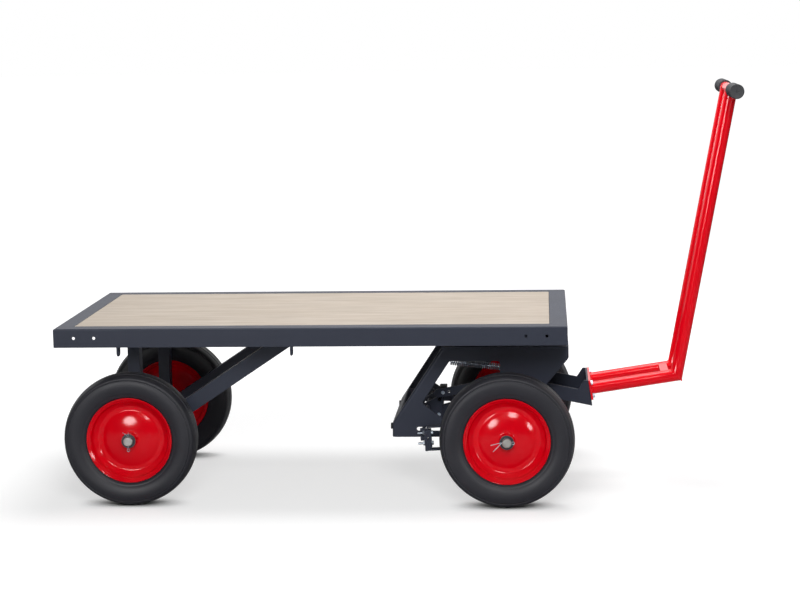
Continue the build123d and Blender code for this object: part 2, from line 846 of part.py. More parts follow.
fork_front_bottom = -flange_forward * fork_tan - half_depth
web_front = fork_front_bottom + fork_sheet
ear_top = flange_height / 2 - flange_drop
ear_foot = flange_forward - 2 * fork_ear_back
with BuildPart() as drawbar_fork:
    with BuildSketch(along_truck(pivot_x, 0, pivot_z)):
        Circle(fork_depth / 2)
        with BuildLine():
            Polyline(
                (0, -half_depth),
                (0, half_depth),
                (ear_foot, half_depth - ear_foot * fork_tan),
                (flange_forward - fork_ear_back, ear_top),
                (flange_x(ear_top), ear_top),
                (flange_x(fork_front_bottom), fork_front_bottom),
                close=True,
            )
        make_face()
        Circle(pivot_tube_radius, mode=Mode.SUBTRACT)
    extrude(amount=fork_half_width, both=True)
    with BuildSketch(along_truck(pivot_x, 0, pivot_z)):
        with BuildLine():
            Polyline(
                (-fork_depth, -fork_depth),
                (fork_web_start, -fork_depth),
                (fork_web_start, fork_sheet - half_depth - fork_web_start * fork_tan),
                (flange_x(web_front) - fork_sheet, web_front),
                (flange_x(fork_depth) - fork_sheet, fork_depth),
                (-fork_depth, fork_depth),
                close=True,
            )
        make_face()
    extrude(amount=fork_half_width - fork_sheet, both=True, mode=Mode.SUBTRACT)
    with BuildSketch(flange_face):
        with GridLocations(2 * flange_bolt_spread, 2 * flange_bolt_rise, 2, 2):
            Circle(flange_bolt_radius)
    extrude(amount=-2 * fork_sheet, mode=Mode.SUBTRACT)
    hole_x = pivot_x + flange_forward - fork_hole_from_flange
    with BuildSketch(Plane(origin=(hole_x, 0, pivot_z), z_dir=(0, 0, -1))):
        SlotOverall(fork_hole_length, fork_hole_width, rotation=90)
    extrude(amount=2 * flange_forward, mode=Mode.SUBTRACT)
write("drawbar_fork", drawbar_fork.part)

# Pivot tube on the shaft, with the lug that the spring pulls
tail_dir = Vector(-tail_length, 0, -tail_drop).normalized()
pivot_at = Vector(pivot_x, 0, pivot_z)
spring_front = pivot_at + Vector(-lug_back, 0, lug_up)
spring_rear = pivot_at + Vector(-anchor_back, 0, anchor_up)
spring_dir = (spring_front - spring_rear).normalized()
spring_up = Vector(-spring_dir.Z, 0, spring_dir.X)


def flat_end(point):
    """Upper and lower corner of a lug's flat end, square to the spring, as plane points."""
    upper = point + spring_up * lug_half_height
    lower = point - spring_up * lug_half_height
    return (upper.X, upper.Z), (lower.X, lower.Z)


with BuildPart() as drawbar_pivot_tube:
    with BuildSketch(along_truck(pivot_x, 0, pivot_z)):
        Circle(pivot_tube_radius)
    extrude(amount=fork_half_width, both=True)
    with BuildSketch(along_truck()):
        with BuildLine():
            Polyline(
                *flat_end(spring_front),
                (pivot_x, pivot_z - lug_half_height),
                (pivot_x, pivot_z + lug_half_height),
                close=True,
            )
        make_face()
    extrude(amount=lug_half_thickness, both=True)
    with BuildSketch(along_truck(pivot_x, 0, pivot_z)):
        Circle(pivot_radius + running_clearance)
    extrude(amount=fork_half_width, both=True, mode=Mode.SUBTRACT)
write("drawbar_pivot_tube", drawbar_pivot_tube.part)

# Tail arm behind the pivot, right of the middle, with a rubber buffer bolted inside it
tail_end = pivot_at + Vector(-tail_length, 0, -tail_drop)
tail_bolt_at = tail_end - tail_dir * tail_bolt_from_end
tail_hole_at = tail_end - tail_dir * tail_hole_from_end
arm_inside = tail_offset - tail_sheet / 2
arm_outside = tail_offset + tail_sheet / 2
arm_plane = along_truck(y=-arm_inside)
bolt_plane = along_truck(tail_bolt_at.X, -arm_inside, tail_bolt_at.Z)
with BuildPart() as tail_arm:
    with BuildSketch(arm_plane):
        with Locations((pivot_x, pivot_z)):
            Circle(tail_eye_radius)
        with BuildLine():
            Line((pivot_x, pivot_z), (tail_end.X, tail_end.Z))
        trace(line_width=tail_depth)
        with Locations((tail_end.X, tail_end.Z)):
            Circle(tail_depth / 2)
        with Locations((pivot_x, pivot_z)):
            Circle(pivot_tube_radius, mode=Mode.SUBTRACT)
        with Locations((tail_bolt_at.X, tail_bolt_at.Z), (tail_hole_at.X, tail_hole_at.Z)):
            Circle(tail_bolt_radius, mode=Mode.SUBTRACT)
    extrude(amount=tail_sheet)
write("tail_arm", tail_arm.part)

with BuildPart() as tail_buffer:
    with BuildSketch(bolt_plane):
        with Locations((0, -buffer_drop)):
            Rectangle(buffer_width, buffer_drop + buffer_rise, align=(Align.CENTER, Align.MIN))
    extrude(amount=-buffer_length)
    with BuildSketch(bolt_plane):
        Circle(tail_bolt_radius)
    extrude(amount=-buffer_hole, mode=Mode.SUBTRACT)
write("tail_buffer", tail_buffer.part)

with BuildPart() as tail_bolt:
    with BuildSketch(bolt_plane.offset(tail_sheet)):
        RegularPolygon(tail_bolt_head_radius, 6)
    extrude(amount=tail_bolt_head)
    with BuildSketch(bolt_plane.offset(tail_sheet)):
        Circle(tail_bolt_radius)
    extrude(amount=-tail_sheet - buffer_hole)
write("tail_bolt", tail_bolt.part)

# Red flange that carries the tubes, and the bolts through it
with BuildPart() as drawbar_flange:
    with BuildSketch(flange_face):
        Rectangle(flange_width, flange_height)
        with GridLocations(2 * flange_bolt_spread, 2 * flange_bolt_rise, 2, 2):
            Circle(flange_bolt_radius, mode=Mode.SUBTRACT)
    extrude(amount=flange_thickness)
write("drawbar_flange", drawbar_flange.part)

with BuildPart() as flange_bolts:
    with BuildSketch(flange_face.offset(flange_thickness)):
        with GridLocations(2 * flange_bolt_spread, 2 * flange_bolt_rise, 2, 2):
            RegularPolygon(flange_bolt_head_radius, 6)
    extrude(amount=flange_bolt_head)
    with BuildSketch(flange_face.offset(flange_thickness)):
        with GridLocations(2 * flange_bolt_spread, 2 * flange_bolt_rise, 2, 2):
            Circle(flange_bolt_radius)
    extrude(amount=-flange_thickness - fork_sheet)
write("flange_bolts", flange_bolts.part)

# Two tubes, mitred at the bend and coped round the handle
bend_at = flange_middle + draw_dir * lower_length
upper_dir = Vector(math.sin(lean), 0, math.cos(lean))
handle_at = bend_at + upper_dir * upper_length
tube_start = flange_middle + draw_dir * flange_thickness
half_spacing = drawbar_tube_spacing / 2
with BuildPart() as drawbar_tubes:
    for side in (-1, 1):
        shift = Vector(0, side * half_spacing, 0)
        with BuildLine() as run:
            Polyline(tube_start + shift, bend_at + shift, handle_at + shift)
        with BuildSketch(Plane(origin=tube_start + shift, x_dir=(0, 1, 0), z_dir=draw_dir)):
            Circle(drawbar_tube_radius)
            Circle(drawbar_tube_radius - drawbar_tube_wall, mode=Mode.SUBTRACT)
        sweep(path=run.line, transition=Transition.RIGHT)
    with BuildSketch(along_truck(handle_at.X, 0, handle_at.Z)):
        Circle(handle_radius)
    extrude(amount=handle_span / 2, both=True, mode=Mode.SUBTRACT)
write("drawbar_tubes", drawbar_tubes.part)

# Flat tie bar between the tubes just before the bend
tie_at = bend_at - draw_dir * tie_bar_from_bend
tie_plane = Plane(origin=tie_at, x_dir=draw_dir, z_dir=(0, -1, 0))
with BuildPart() as drawbar_tie_bar:
    with BuildSketch(tie_plane):
        with Locations((0, tie_bar_rise)):
            Rectangle(tie_bar_width, tie_bar_thickness)
    extrude(amount=half_spacing, both=True)
    for side in (-1, 1):
        with BuildSketch(flange_face):
            with Locations((side * half_spacing, 0)):
                Circle(drawbar_tube_radius)
        extrude(amount=lower_length, mode=Mode.SUBTRACT)
write("drawbar_tie_bar", drawbar_tie_bar.part)

# Handle tube and rubber grips closed at the ends
handle_plane = along_truck(handle_at.X, 0, handle_at.Z)
handle_end = handle_span / 2 - grip_cap
grip_length = handle_span / 2 - half_spacing - drawbar_tube_radius - grip_from_tube
with BuildPart() as handle_tube:
    with BuildSketch(handle_plane):
        Circle(handle_radius)
        Circle(handle_radius - handle_wall, mode=Mode.SUBTRACT)
    extrude(amount=handle_end, both=True)
write("handle_tube", handle_tube.part)

with BuildPart() as handle_grips:
    for side in (-1, 1):
        with BuildSketch(along_truck(handle_at.X, side * handle_span / 2, handle_at.Z)):
            Circle(grip_radius)
        extrude(amount=side * grip_length)
    fillet(handle_grips.edges(), grip_round)
    with BuildSketch(handle_plane):
        Circle(handle_radius)
    extrude(amount=handle_end, both=True, mode=Mode.SUBTRACT)
write("handle_grips", handle_grips.part)

# Spring lug under the top plate, and lugs on the rear panel for the lever's pin
lever_outside = lever_half_span + lever_sheet / 2
lever_pin = (front_axle_x - lever_pin_back, axle_z + lever_pin_rise)
hanger_low = lever_pin[1] - lever_boss_radius
hanger_high = lever_pin[1] + lever_boss_radius
with BuildPart() as panel_lugs:
    with BuildSketch(along_truck()):
        with BuildLine():
            Polyline(
                *flat_end(spring_rear),
                (spring_rear.X - anchor_lug_depth, spring_rear.Z - lug_half_height),
                (rear_top, bracket_top),
                (rear_top + anchor_lug_foot, bracket_top),
                close=True,
            )
        make_face()
    extrude(amount=lug_half_thickness, both=True)
    for side in (-1, 1):
        with BuildSketch(along_truck(y=side * (hanger_half_span - hanger_sheet / 2))):
            with BuildLine():
                Polyline(
                    (lever_pin[0], hanger_high),
                    (slant_x(hanger_high, bogie_sheet), hanger_high),
                    (slant_x(hanger_low, bogie_sheet), hanger_low),
                    (lever_pin[0], hanger_low),
                    close=True,
                )
            make_face()
            with Locations(lever_pin):
                Circle(lever_boss_radius)
        extrude(amount=-side * hanger_sheet)
        with BuildSketch(along_truck(y=side * (lever_outside + running_clearance))):
            with Locations(lever_pin):
                Circle(lever_collar_radius)
        extrude(amount=-side * lever_collar)
    with BuildSketch(along_truck()):
        with Locations(lever_pin):
            Circle(lever_pin_radius)
    extrude(amount=hanger_half_span + hanger_sheet / 2, both=True)
write("panel_lugs", panel_lugs.part)


# Return spring: one wire, straight at its ends and wound between them in half turns
def joined_arcs(start, leaving, end, arriving):
    """Two arcs, tangent to each other, from one point and direction to another."""
    gap = end - start
    both = leaving + arriving
    turn = 2 * (1 - leaving.dot(arriving))
    reach = (math.sqrt(gap.dot(both) ** 2 + turn * gap.dot(gap)) - gap.dot(both)) / turn
    first = start + leaving * reach
    last = end - arriving * reach
    middle = (first + last) * 0.5
    TangentArc(start, middle, tangent=leaving)
    TangentArc(middle, end, tangent=last - first)


spring_leg = 2 * spring_wire_radius
coil_start = spring_leg + spring_run_out
coil_length = (spring_front - spring_rear).length - 2 * coil_start
coil_pitch = coil_length / spring_turns
across = Vector(0, 1, 0)


def on_coil(half_turns):
    """Point and direction on the winding after a number of half turns."""
    angle = math.pi * half_turns
    out = across * math.cos(angle) + spring_up * math.sin(angle)
    way = spring_up * math.cos(angle) - across * math.sin(angle)
    reach = coil_start + half_turns * coil_pitch / 2
    point = spring_rear + spring_dir * reach + out * spring_radius
    heading = way * spring_radius + spring_dir * (coil_pitch / 2 / math.pi)
    return point, heading.normalized()


leg_end = spring_rear + spring_dir * spring_leg
leg_start = spring_front - spring_dir * spring_leg
with BuildPart() as return_spring:
    with BuildLine() as wire:
        Line(spring_rear, leg_end)
        joined_arcs(leg_end, spring_dir, *on_coil(0))
        for half_turn in range(2 * spring_turns):
            joined_arcs(*on_coil(half_turn), *on_coil(half_turn + 1))
        joined_arcs(*on_coil(2 * spring_turns), leg_start, spring_dir)
        Line(leg_start, spring_front)
    with BuildSketch(Plane(origin=spring_rear, z_dir=spring_dir)):
        Circle(spring_wire_radius)
    sweep(path=wire.wire())
write("return_spring", return_spring.part)

winding = wire.wire()
gap_steps = 60 * spring_turns
wire_points = [winding @ (step / gap_steps) for step in range(gap_steps + 1)]
neighbours = int(gap_steps * 3 * math.pi * spring_wire_radius / winding.length) + 1
least_gap = min(
    (point - other).length
    for index, point in enumerate(wire_points)
    for other in wire_points[index + neighbours :]
)
print("return spring, least gap to itself:", round(least_gap - 2 * spring_wire_radius, 2))

# Brake lever: two plates on the hanger pin, pressed by the tail and pulling the yoke
tail_normal = Vector(-tail_dir.Z, 0, tail_dir.X)
roller_at = tail_end + tail_normal * (tail_depth / 2 + roller_radius + seat_gap)
roller = (roller_at.X, roller_at.Z)
lever_bolt = (front_axle_x - lever_bolt_back, axle_z + lever_bolt_rise)
with BuildPart() as brake_lever:
    for side in (-1, 1):
        with BuildSketch(along_truck(y=side * (lever_half_span - lever_sheet / 2))):
            with BuildLine():
                CenterArc(lever_pin, lever_boss_radius, 0, 360)
                CenterArc(roller, lever_horn_radius, 0, 360)
                CenterArc(lever_bolt, lever_bolt_eye, 0, 360)
            make_hull()
            with Locations(lever_pin):
                Circle(lever_pin_radius + running_clearance, mode=Mode.SUBTRACT)
            with Locations(roller):
                Circle(roller_radius, mode=Mode.SUBTRACT)
            with Locations(lever_bolt):
                Circle(lever_bolt_radius, mode=Mode.SUBTRACT)
        extrude(amount=-side * lever_sheet)
write("brake_lever", brake_lever.part)

# Roller under the tail and the bright bolt that works in the yoke's slots
with BuildPart() as brake_lever_pins:
    with BuildSketch(along_truck(roller[0], 0, roller[1])):
        Circle(roller_radius)
    extrude(amount=arm_outside, both=True)
    with BuildSketch(along_truck(lever_bolt[0], 0, lever_bolt[1])):
        Circle(lever_bolt_radius)
    extrude(amount=lever_outside, both=True)
    for side in (-1, 1):
        with BuildSketch(along_truck(lever_bolt[0], side * lever_outside, lever_bolt[1])):
            RegularPolygon(lever_bolt_head_radius, 6)
        extrude(amount=-side * lever_bolt_head)
write("brake_lever_pins", brake_lever_pins.part)

# Brake bar across the bogie, with the slotted yoke plates and an end plate at each clamp
tilt = math.radians(band_tilt)
band_y = front_track / 2 - drum_inset
clamp_rear = clamp_from_axle + 2 * clamp_plate + band_thickness


def band_plane(y):
    """Plane of a brake band: local x rearwards from the axle, tilted down, local y up."""
    back = (-math.cos(tilt), 0, -math.sin(tilt))
    return Plane(origin=(front_axle_x, y, axle_z), x_dir=back, z_dir=(0, 1, 0))


def clamp_plane(back, side):
    """Plane square to a band's legs at a distance back from the axle, local y up."""
    frame = band_plane(side * band_y)
    origin = frame.from_local_coords(Vector(back, 0, 0))
    return Plane(origin=origin, x_dir=(0, -1, 0), z_dir=frame.x_dir)


end_plate_y = band_y - band_width / 2
end_plate_width = band_width / 2 - clamp_bolt_head_radius - 2 * seat_gap
bar_local = (clamp_rear + end_plate_length / 2, (clamp_rear + end_plate_length / 2) * math.tan(tilt))
bar_at = band_plane(0).from_local_coords(Vector(*bar_local, 0))
yoke_end = (front_axle_x - yoke_end_back, axle_z + yoke_end_rise)
slot_at = (lever_bolt[0], lever_bolt[1] + yoke_slot_travel / 2)
slot_width = 2 * (lever_bolt_radius + yoke_slot_clearance)
with BuildPart() as brake_bar:
    with BuildSketch(along_truck(bar_at.X, 0, bar_at.Z)):
        Circle(brake_bar_radius)
    extrude(amount=end_plate_y + end_plate_width, both=True)
    for side in (-1, 1):
        with BuildSketch(along_truck(y=side * (yoke_half_span - yoke_sheet / 2))):
            with BuildLine():
                CenterArc((bar_at.X, bar_at.Z), yoke_eye_radius, 0, 360)
                CenterArc(yoke_end, yoke_end_radius, 0, 360)
            make_hull()
            with Locations(slot_at):
                SlotOverall(slot_width + yoke_slot_travel, slot_width, rotation=90, mode=Mode.SUBTRACT)
        extrude(amount=-side * yoke_sheet)
        with BuildSketch(band_plane(side * end_plate_y)):
            with Locations((clamp_rear, bar_local[1] - end_plate_rise)):
                Rectangle(end_plate_length, end_plate_height, align=(Align.MIN, Align.CENTER))
        extrude(amount=side * end_plate_width)
write("brake_bar", brake_bar.part)

# Brake bands round the drums, their ends turned in between the clamp plates
band_in = drum_radius + band_clearance
band_out = band_in + band_thickness
foot_rear = clamp_from_axle + clamp_plate + band_thickness
foot_front = clamp_from_axle + clamp_plate
end_v = band_end_gap / 2
clamp_bolt_places = [(0, -clamp_bolt_spacing / 2), (0, clamp_bolt_spacing / 2)]
with BuildPart() as brake_bands:
    for side in (-1, 1):
        with BuildSketch(band_plane(side * (band_y - band_width / 2))):
            with BuildLine():
                ThreePointArc((0, band_out), (-band_out, 0), (0, -band_out))
                Polyline(
                    (0, -band_out),
                    (foot_rear, -band_out),
                    (foot_rear, -end_v),
                    (foot_front, -end_v),
                    (foot_front, -band_in),
                    (0, -band_in),
                )
                ThreePointArc((0, -band_in), (-band_in, 0), (0, band_in))
                Polyline(
                    (0, band_in),
                    (foot_front, band_in),
                    (foot_front, end_v),
                    (foot_rear, end_v),
                    (foot_rear, band_out),
                    (0, band_out),
                )
            make_face()
        extrude(amount=side * band_width)
        with BuildSketch(clamp_plane(foot_front, side)):
            with Locations(*clamp_bolt_places):
                Circle(clamp_bolt_radius)
        extrude(amount=band_thickness, mode=Mode.SUBTRACT)
write("brake_bands", brake_bands.part)

# Clamp plates in front of and behind the bands' ends
with BuildPart() as brake_clamps:
    for side in (-1, 1):
        for back, bottom in ((clamp_from_axle, clamp_front_bottom), (foot_rear, clamp_rear_bottom)):
            with BuildSketch(clamp_plane(back, side)):
                with Locations((0, (clamp_top - bottom) / 2)):
                    Rectangle(band_width, clamp_top + bottom)
                with Locations(*clamp_bolt_places):
                    Circle(clamp_bolt_radius, mode=Mode.SUBTRACT)
            extrude(amount=clamp_plate)
write("brake_clamps", brake_clamps.part)

with BuildPart() as brake_clamp_bolts:
    for side in (-1, 1):
        with BuildSketch(clamp_plane(clamp_from_axle, side)):
            with Locations(*clamp_bolt_places):
                Circle(clamp_bolt_radius)
        extrude(amount=clamp_rear - clamp_from_axle + clamp_bolt_tail)
        with BuildSketch(clamp_plane(clamp_from_axle, side)):
            with Locations(*clamp_bolt_places):
                RegularPolygon(clamp_bolt_head_radius, 6)
        extrude(amount=-clamp_bolt_head)
        with BuildSketch(clamp_plane(clamp_rear, side)):
            with Locations(*clamp_bolt_places):
                RegularPolygon(clamp_bolt_head_radius, 6)
        extrude(amount=clamp_bolt_head)
write("brake_clamp_bolts", brake_clamp_bolts.part)
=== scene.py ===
import json
import math

import bmesh
import bpy
from mathutils import Matrix, Vector


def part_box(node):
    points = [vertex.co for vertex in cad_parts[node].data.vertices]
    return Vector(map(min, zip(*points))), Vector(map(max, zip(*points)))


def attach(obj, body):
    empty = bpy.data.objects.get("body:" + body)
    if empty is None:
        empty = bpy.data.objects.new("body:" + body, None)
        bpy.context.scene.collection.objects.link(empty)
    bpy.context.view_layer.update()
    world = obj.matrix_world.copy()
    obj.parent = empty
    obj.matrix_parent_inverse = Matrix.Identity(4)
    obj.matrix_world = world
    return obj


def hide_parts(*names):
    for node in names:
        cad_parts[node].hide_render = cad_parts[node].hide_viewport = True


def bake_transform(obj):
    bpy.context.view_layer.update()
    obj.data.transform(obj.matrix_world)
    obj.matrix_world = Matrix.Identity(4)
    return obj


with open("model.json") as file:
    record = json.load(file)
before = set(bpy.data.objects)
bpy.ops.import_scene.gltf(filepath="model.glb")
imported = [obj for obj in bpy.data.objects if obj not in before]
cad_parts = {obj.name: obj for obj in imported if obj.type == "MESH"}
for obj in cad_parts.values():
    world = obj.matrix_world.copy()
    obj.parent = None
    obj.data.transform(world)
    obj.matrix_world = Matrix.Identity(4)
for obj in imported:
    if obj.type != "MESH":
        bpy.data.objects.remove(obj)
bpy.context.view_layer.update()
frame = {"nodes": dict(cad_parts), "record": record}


# Side and end rails: 3 mm steel sheet folded to a face, a lip and a ledge, mitred and welded at
# the corners, then powder coated dark grey. Every cut edge is broken, so it catches the light.
def linear(red, green, blue):
    """A colour as it is seen, from 0 to 255, as the shader's own values with alpha."""
    seen = [value / 255 for value in (red, green, blue)]
    return (*[part / 12.92 if part < 0.04045 else ((part + 0.055) / 1.055) ** 2.4 for part in seen], 1.0)


def shader_group(name, inputs, outputs):
    """A shader group with named inputs and outputs, and the sockets of its inlet and outlet."""
    group = bpy.data.node_groups.new(name, "ShaderNodeTree")
    kinds = {"Colour": "NodeSocketColor"}
    for label, value in inputs.items():
        kind = kinds.get(label, "NodeSocketFloat")
        group.interface.new_socket(label, in_out="INPUT", socket_type=kind).default_value = value
    for label in outputs:
        kind = kinds.get(label, "NodeSocketFloat")
        group.interface.new_socket(label, in_out="OUTPUT", socket_type=kind)
    return group, group.nodes.new("NodeGroupInput").outputs, group.nodes.new("NodeGroupOutput").inputs


def node(tree, kind, values=(), **settings):
    """A node with its settings, and its inputs set by name or index to values or other sockets."""
    made = tree.nodes.new(kind)
    for key, value in settings.items():
        setattr(made, key, value)
    for key, value in dict(values).items():
        if isinstance(value, bpy.types.NodeSocket):
            tree.links.new(value, made.inputs[key])
        else:
            made.inputs[key].default_value = value
    return made


def maths(tree, operation, *values):
    """The outcome of one operation on sockets and numbers."""
    return node(tree, "ShaderNodeMath", enumerate(values), operation=operation).outputs[0]


def ranged(tree, value, low, high, to_low=0.0, to_high=1.0, **settings):
    """A value moved from one range to another, and held inside it."""
    values = {"Value": value, "From Min": low, "From Max": high, "To Min": to_low, "To Max": to_high}
    return node(tree, "ShaderNodeMapRange", values, **settings).outputs[0]


def noise(tree, place, scale, detail, distortion=0.0):
    """Soft noise at a place, between 0 and 1."""
    values = {"Vector": place, "Scale": scale, "Detail": detail, "Distortion": distortion}
    return node(tree, "ShaderNodeTexNoise", values).outputs[0]


def varied(tree, cloud, swing, base):
    """A value that rises from its base with a cloud."""
    return maths(tree, "MULTIPLY_ADD", cloud, swing, base)


def toned(tree, colour, level):
    """A colour made lighter or darker by a level."""
    return node(tree, "ShaderNodeHueSaturation", {"Value": level, "Color": colour}).outputs[0]


def own_place(tree):
    """The place on a piece, in the piece's own coordinates."""
    return node(tree, "ShaderNodeTexCoord").outputs["Object"]


def powder_coat_group():
    """Sprayed and baked coat: broad faint mottle in colour, uneven gloss, and a fine peel."""
    inputs = {"Colour": (1, 1, 1, 1), "Gloss": 0.4, "Mottle": 0.06}
    group, inlet, outlet = shader_group("powder_coat", inputs, ["Colour", "Roughness", "Peel"])
    place = own_place(group)
    cloud = maths(group, "SUBTRACT", noise(group, place, scale=11.0, detail=4.0), 0.5)
    level = maths(group, "ADD", maths(group, "MULTIPLY", cloud, inlet["Mottle"]), 1.0)
    dull = varied(group, noise(group, place, scale=160.0, detail=2.0), swing=0.4, base=0.8)
    group.links.new(toned(group, inlet["Colour"], level), outlet["Colour"])
    group.links.new(maths(group, "MULTIPLY", dull, inlet["Gloss"]), outlet["Roughness"])
    group.links.new(noise(group, place, scale=620.0, detail=1.5), outlet["Peel"])
    return group


powder_coat = powder_coat_group()


def settled_dust_group():
    """Thin pale dust in patches on what faces up, which also dulls the gloss."""
    inputs = {"Colour": (1, 1, 1, 1), "Roughness": 0.4, "Amount": 0.1}
    group, inlet, outlet = shader_group("settled_dust", inputs, ["Colour", "Roughness"])
    around = node(group, "ShaderNodeTexCoord").outputs
    facing = node(group, "ShaderNodeSeparateXYZ", {0: around["Normal"]}).outputs["Z"]
    upward = ranged(group, facing, low=0.3, high=1.0)
    patch = ranged(group, noise(group, around["Object"], scale=9.0, detail=6.0), low=0.3, high=0.7)
    cover = maths(group, "MULTIPLY", maths(group, "MULTIPLY", upward, patch), inlet["Amount"])
    layers = {"Fac": cover, "Color1": inlet["Colour"], "Color2": linear(168, 164, 158)}
    group.links.new(node(group, "ShaderNodeMixRGB", layers).outputs[0], outlet["Colour"])
    group.links.new(maths(group, "ADD", cover, inlet["Roughness"]), outlet["Roughness"])
    return group


settled_dust = settled_dust_group()


def new_finish(name):
    """A new material, its node tree and the inputs of its shader."""
    finish = bpy.data.materials.new(name)
    finish.use_nodes = True
    return finish, finish.node_tree, finish.node_tree.nodes["Principled BSDF"].inputs


def dusted(tree, shader, colour, roughness, amount):
    """Sends a colour and a roughness through the settled dust to the shader."""
    values = {"Colour": colour, "Roughness": roughness, "Amount": amount}
    dust = node(tree, "ShaderNodeGroup", values, node_tree=settled_dust).outputs
    tree.links.new(dust["Colour"], shader["Base Color"])
    tree.links.new(dust["Roughness"], shader["Roughness"])


def bumped(tree, shader, height, strength, depth):
    """Raises the shader's surface by a height."""
    bump = node(tree, "ShaderNodeBump", {"Strength": strength, "Distance": depth, "Height": height})
    tree.links.new(bump.outputs[0], shader["Normal"])


def coated(name, colour, gloss, mottle, peel_depth, specular):
    """A powder coated steel finish."""
    finish, tree, shader = new_finish(name)
    shader["Specular IOR Level"].default_value = specular
    values = {"Colour": colour, "Gloss": gloss, "Mottle": mottle}
    coat = node(tree, "ShaderNodeGroup", values, node_tree=powder_coat).outputs
    dusted(tree, shader, coat["Colour"], coat["Roughness"], amount=0.06)
    bumped(tree, shader, coat["Peel"], strength=0.5, depth=peel_depth)
    return finish


dark_coat = coated(
    "dark_powder_coat", linear(60, 64, 77), gloss=0.42, mottle=0.10, peel_depth=0.00012, specular=0.12
)

solids_of_body = frame["record"]["behaviour"]["bodies"]
body_of_solid = {solid: body for body, solids in solids_of_body.items() for solid in solids}
crease_angle = math.radians(32)
flat_angle = math.radians(0.3)
same_point = 1e-6


def put_on(piece, source):
    """Fixes a finished piece to the body of the solid that it stands for."""
    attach(piece, body_of_solid[source])
    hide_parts(source)
    return piece


def solid_shape(source):
    """A copy of a solid's shape, its triangles joined at their corners."""
    shape = bmesh.new()
    shape.from_mesh(frame["nodes"][source].data)
    bmesh.ops.remove_doubles(shape, verts=shape.verts, dist=same_point)
    return shape


def smooth_but_creased(shape):
    """Smooth faces, with the edges that turn sharply kept crisp."""
    for face in shape.faces:
        face.smooth = True
    for edge in shape.edges:
        edge.smooth = len(edge.link_faces) == 2 and edge.calc_face_angle(math.pi) < crease_angle


def as_piece(name, shape, finish):
    """Turns a worked shape into a piece at the origin."""
    smooth_but_creased(shape)
    mesh = bpy.data.meshes.new(name)
    shape.to_mesh(mesh)
    shape.free()
    mesh.materials.append(finish)
    piece = bpy.data.objects.new(name, mesh)
    bpy.context.scene.collection.objects.link(piece)
    return piece


def worked_mesh(piece):
    """The plain mesh that a piece comes out as, with all that works on it."""
    seen = piece.evaluated_get(bpy.context.evaluated_depsgraph_get())
    return bpy.data.meshes.new_from_object(seen)


def broad_faces_flat(piece):
    """Lets broad faces set the shading at their edges, so that flat sheet looks flat."""
    weighing = piece.modifiers.new("weighing", "WEIGHTED_NORMAL")
    weighing.mode = "FACE_AREA"
    weighing.weight = 80
    weighing.keep_sharp = True
    piece.data = worked_mesh(piece)
    piece.modifiers.remove(weighing)
    return piece


def eased(name, source, finish, slot, ease=0.0007):
    """A piece cut to its solid's shape, with its sharp edges broken by a small round."""
    shape = solid_shape(source)
    bmesh.ops.dissolve_limit(shape, angle_limit=flat_angle, verts=shape.verts, edges=shape.edges)
    sharp = [
        edge
        for edge in shape.edges
        if len(edge.link_faces) == 2 and edge.calc_face_angle(0.0) > crease_angle
    ]
    bmesh.ops.bevel(
        shape,
        geom=sharp,
        offset=ease,
        offset_type="OFFSET",
        segments=2,
        profile=0.5,
        affect="EDGES",
        clamp_overlap=False,
    )
    return put_on(broad_faces_flat(as_piece(name, shape, finish)), source)


def painted_dark(name, source, **ease):
    """An eased piece in the dark coat."""
    return eased(name, source, dark_coat, "dark_paint", **ease)


painted_dark("rail_right", "side_rail_right")
painted_dark("rail_left", "side_rail_left")
painted_dark("rails_at_ends", "end_rails")


# Deck board: 15 mm plywood with a pale worn face, dropped in level with the lips of the rails
# and resting on their ledges and on the cross members.
def board_finish():
    """Pale veneer with long soft figure and fine fibre, both drawn out along the deck."""
    finish, tree, shader = new_finish("pale_board")
    shader["Specular IOR Level"].default_value = 0.02
    place = own_place(tree)
    figure_place = node(tree, "ShaderNodeMapping", {"Vector": place, "Scale": (2.2, 30.0, 30.0)})
    figure = noise(tree, figure_place.outputs[0], scale=2.4, detail=7.0, distortion=0.5)
    fibre_place = node(tree, "ShaderNodeMapping", {"Vector": place, "Scale": (26.0, 900.0, 900.0)})
    fibre = noise(tree, fibre_place.outputs[0], scale=1.0, detail=3.0)
    grain = varied(tree, fibre, swing=0.45, base=figure)
    tone = node(tree, "ShaderNodeValToRGB", {"Fac": grain})
    darker, paler = tone.color_ramp.elements
    darker.position, darker.color = 0.42, linear(182, 168, 152)
    paler.position, paler.color = 1.0, linear(209, 199, 188)
    dull = varied(tree, figure, swing=0.2, base=0.5)
    dusted(tree, shader, tone.outputs[0], dull, amount=0.12)
    bumped(tree, shader, fibre, strength=0.35, depth=0.0003)
    return finish


eased("board", "deck_board", board_finish(), "deck_plywood", ease=0.0009)

# Cross members, rear beam, posts and braces: square steel tube, sawn, welded and coated with
# the rails in one go, as are the bent rod lashing eyes under the side rails.
tube_ease = 0.0014
painted_dark("members_under_board", "cross_members")
painted_dark("beam_for_rear_axle", "rear_axle_beam", ease=tube_ease)
painted_dark("posts", "rear_posts", ease=tube_ease)
painted_dark("braces", "rear_braces", ease=tube_ease)
painted_dark("eyes_for_lashing", "lashing_eyes")


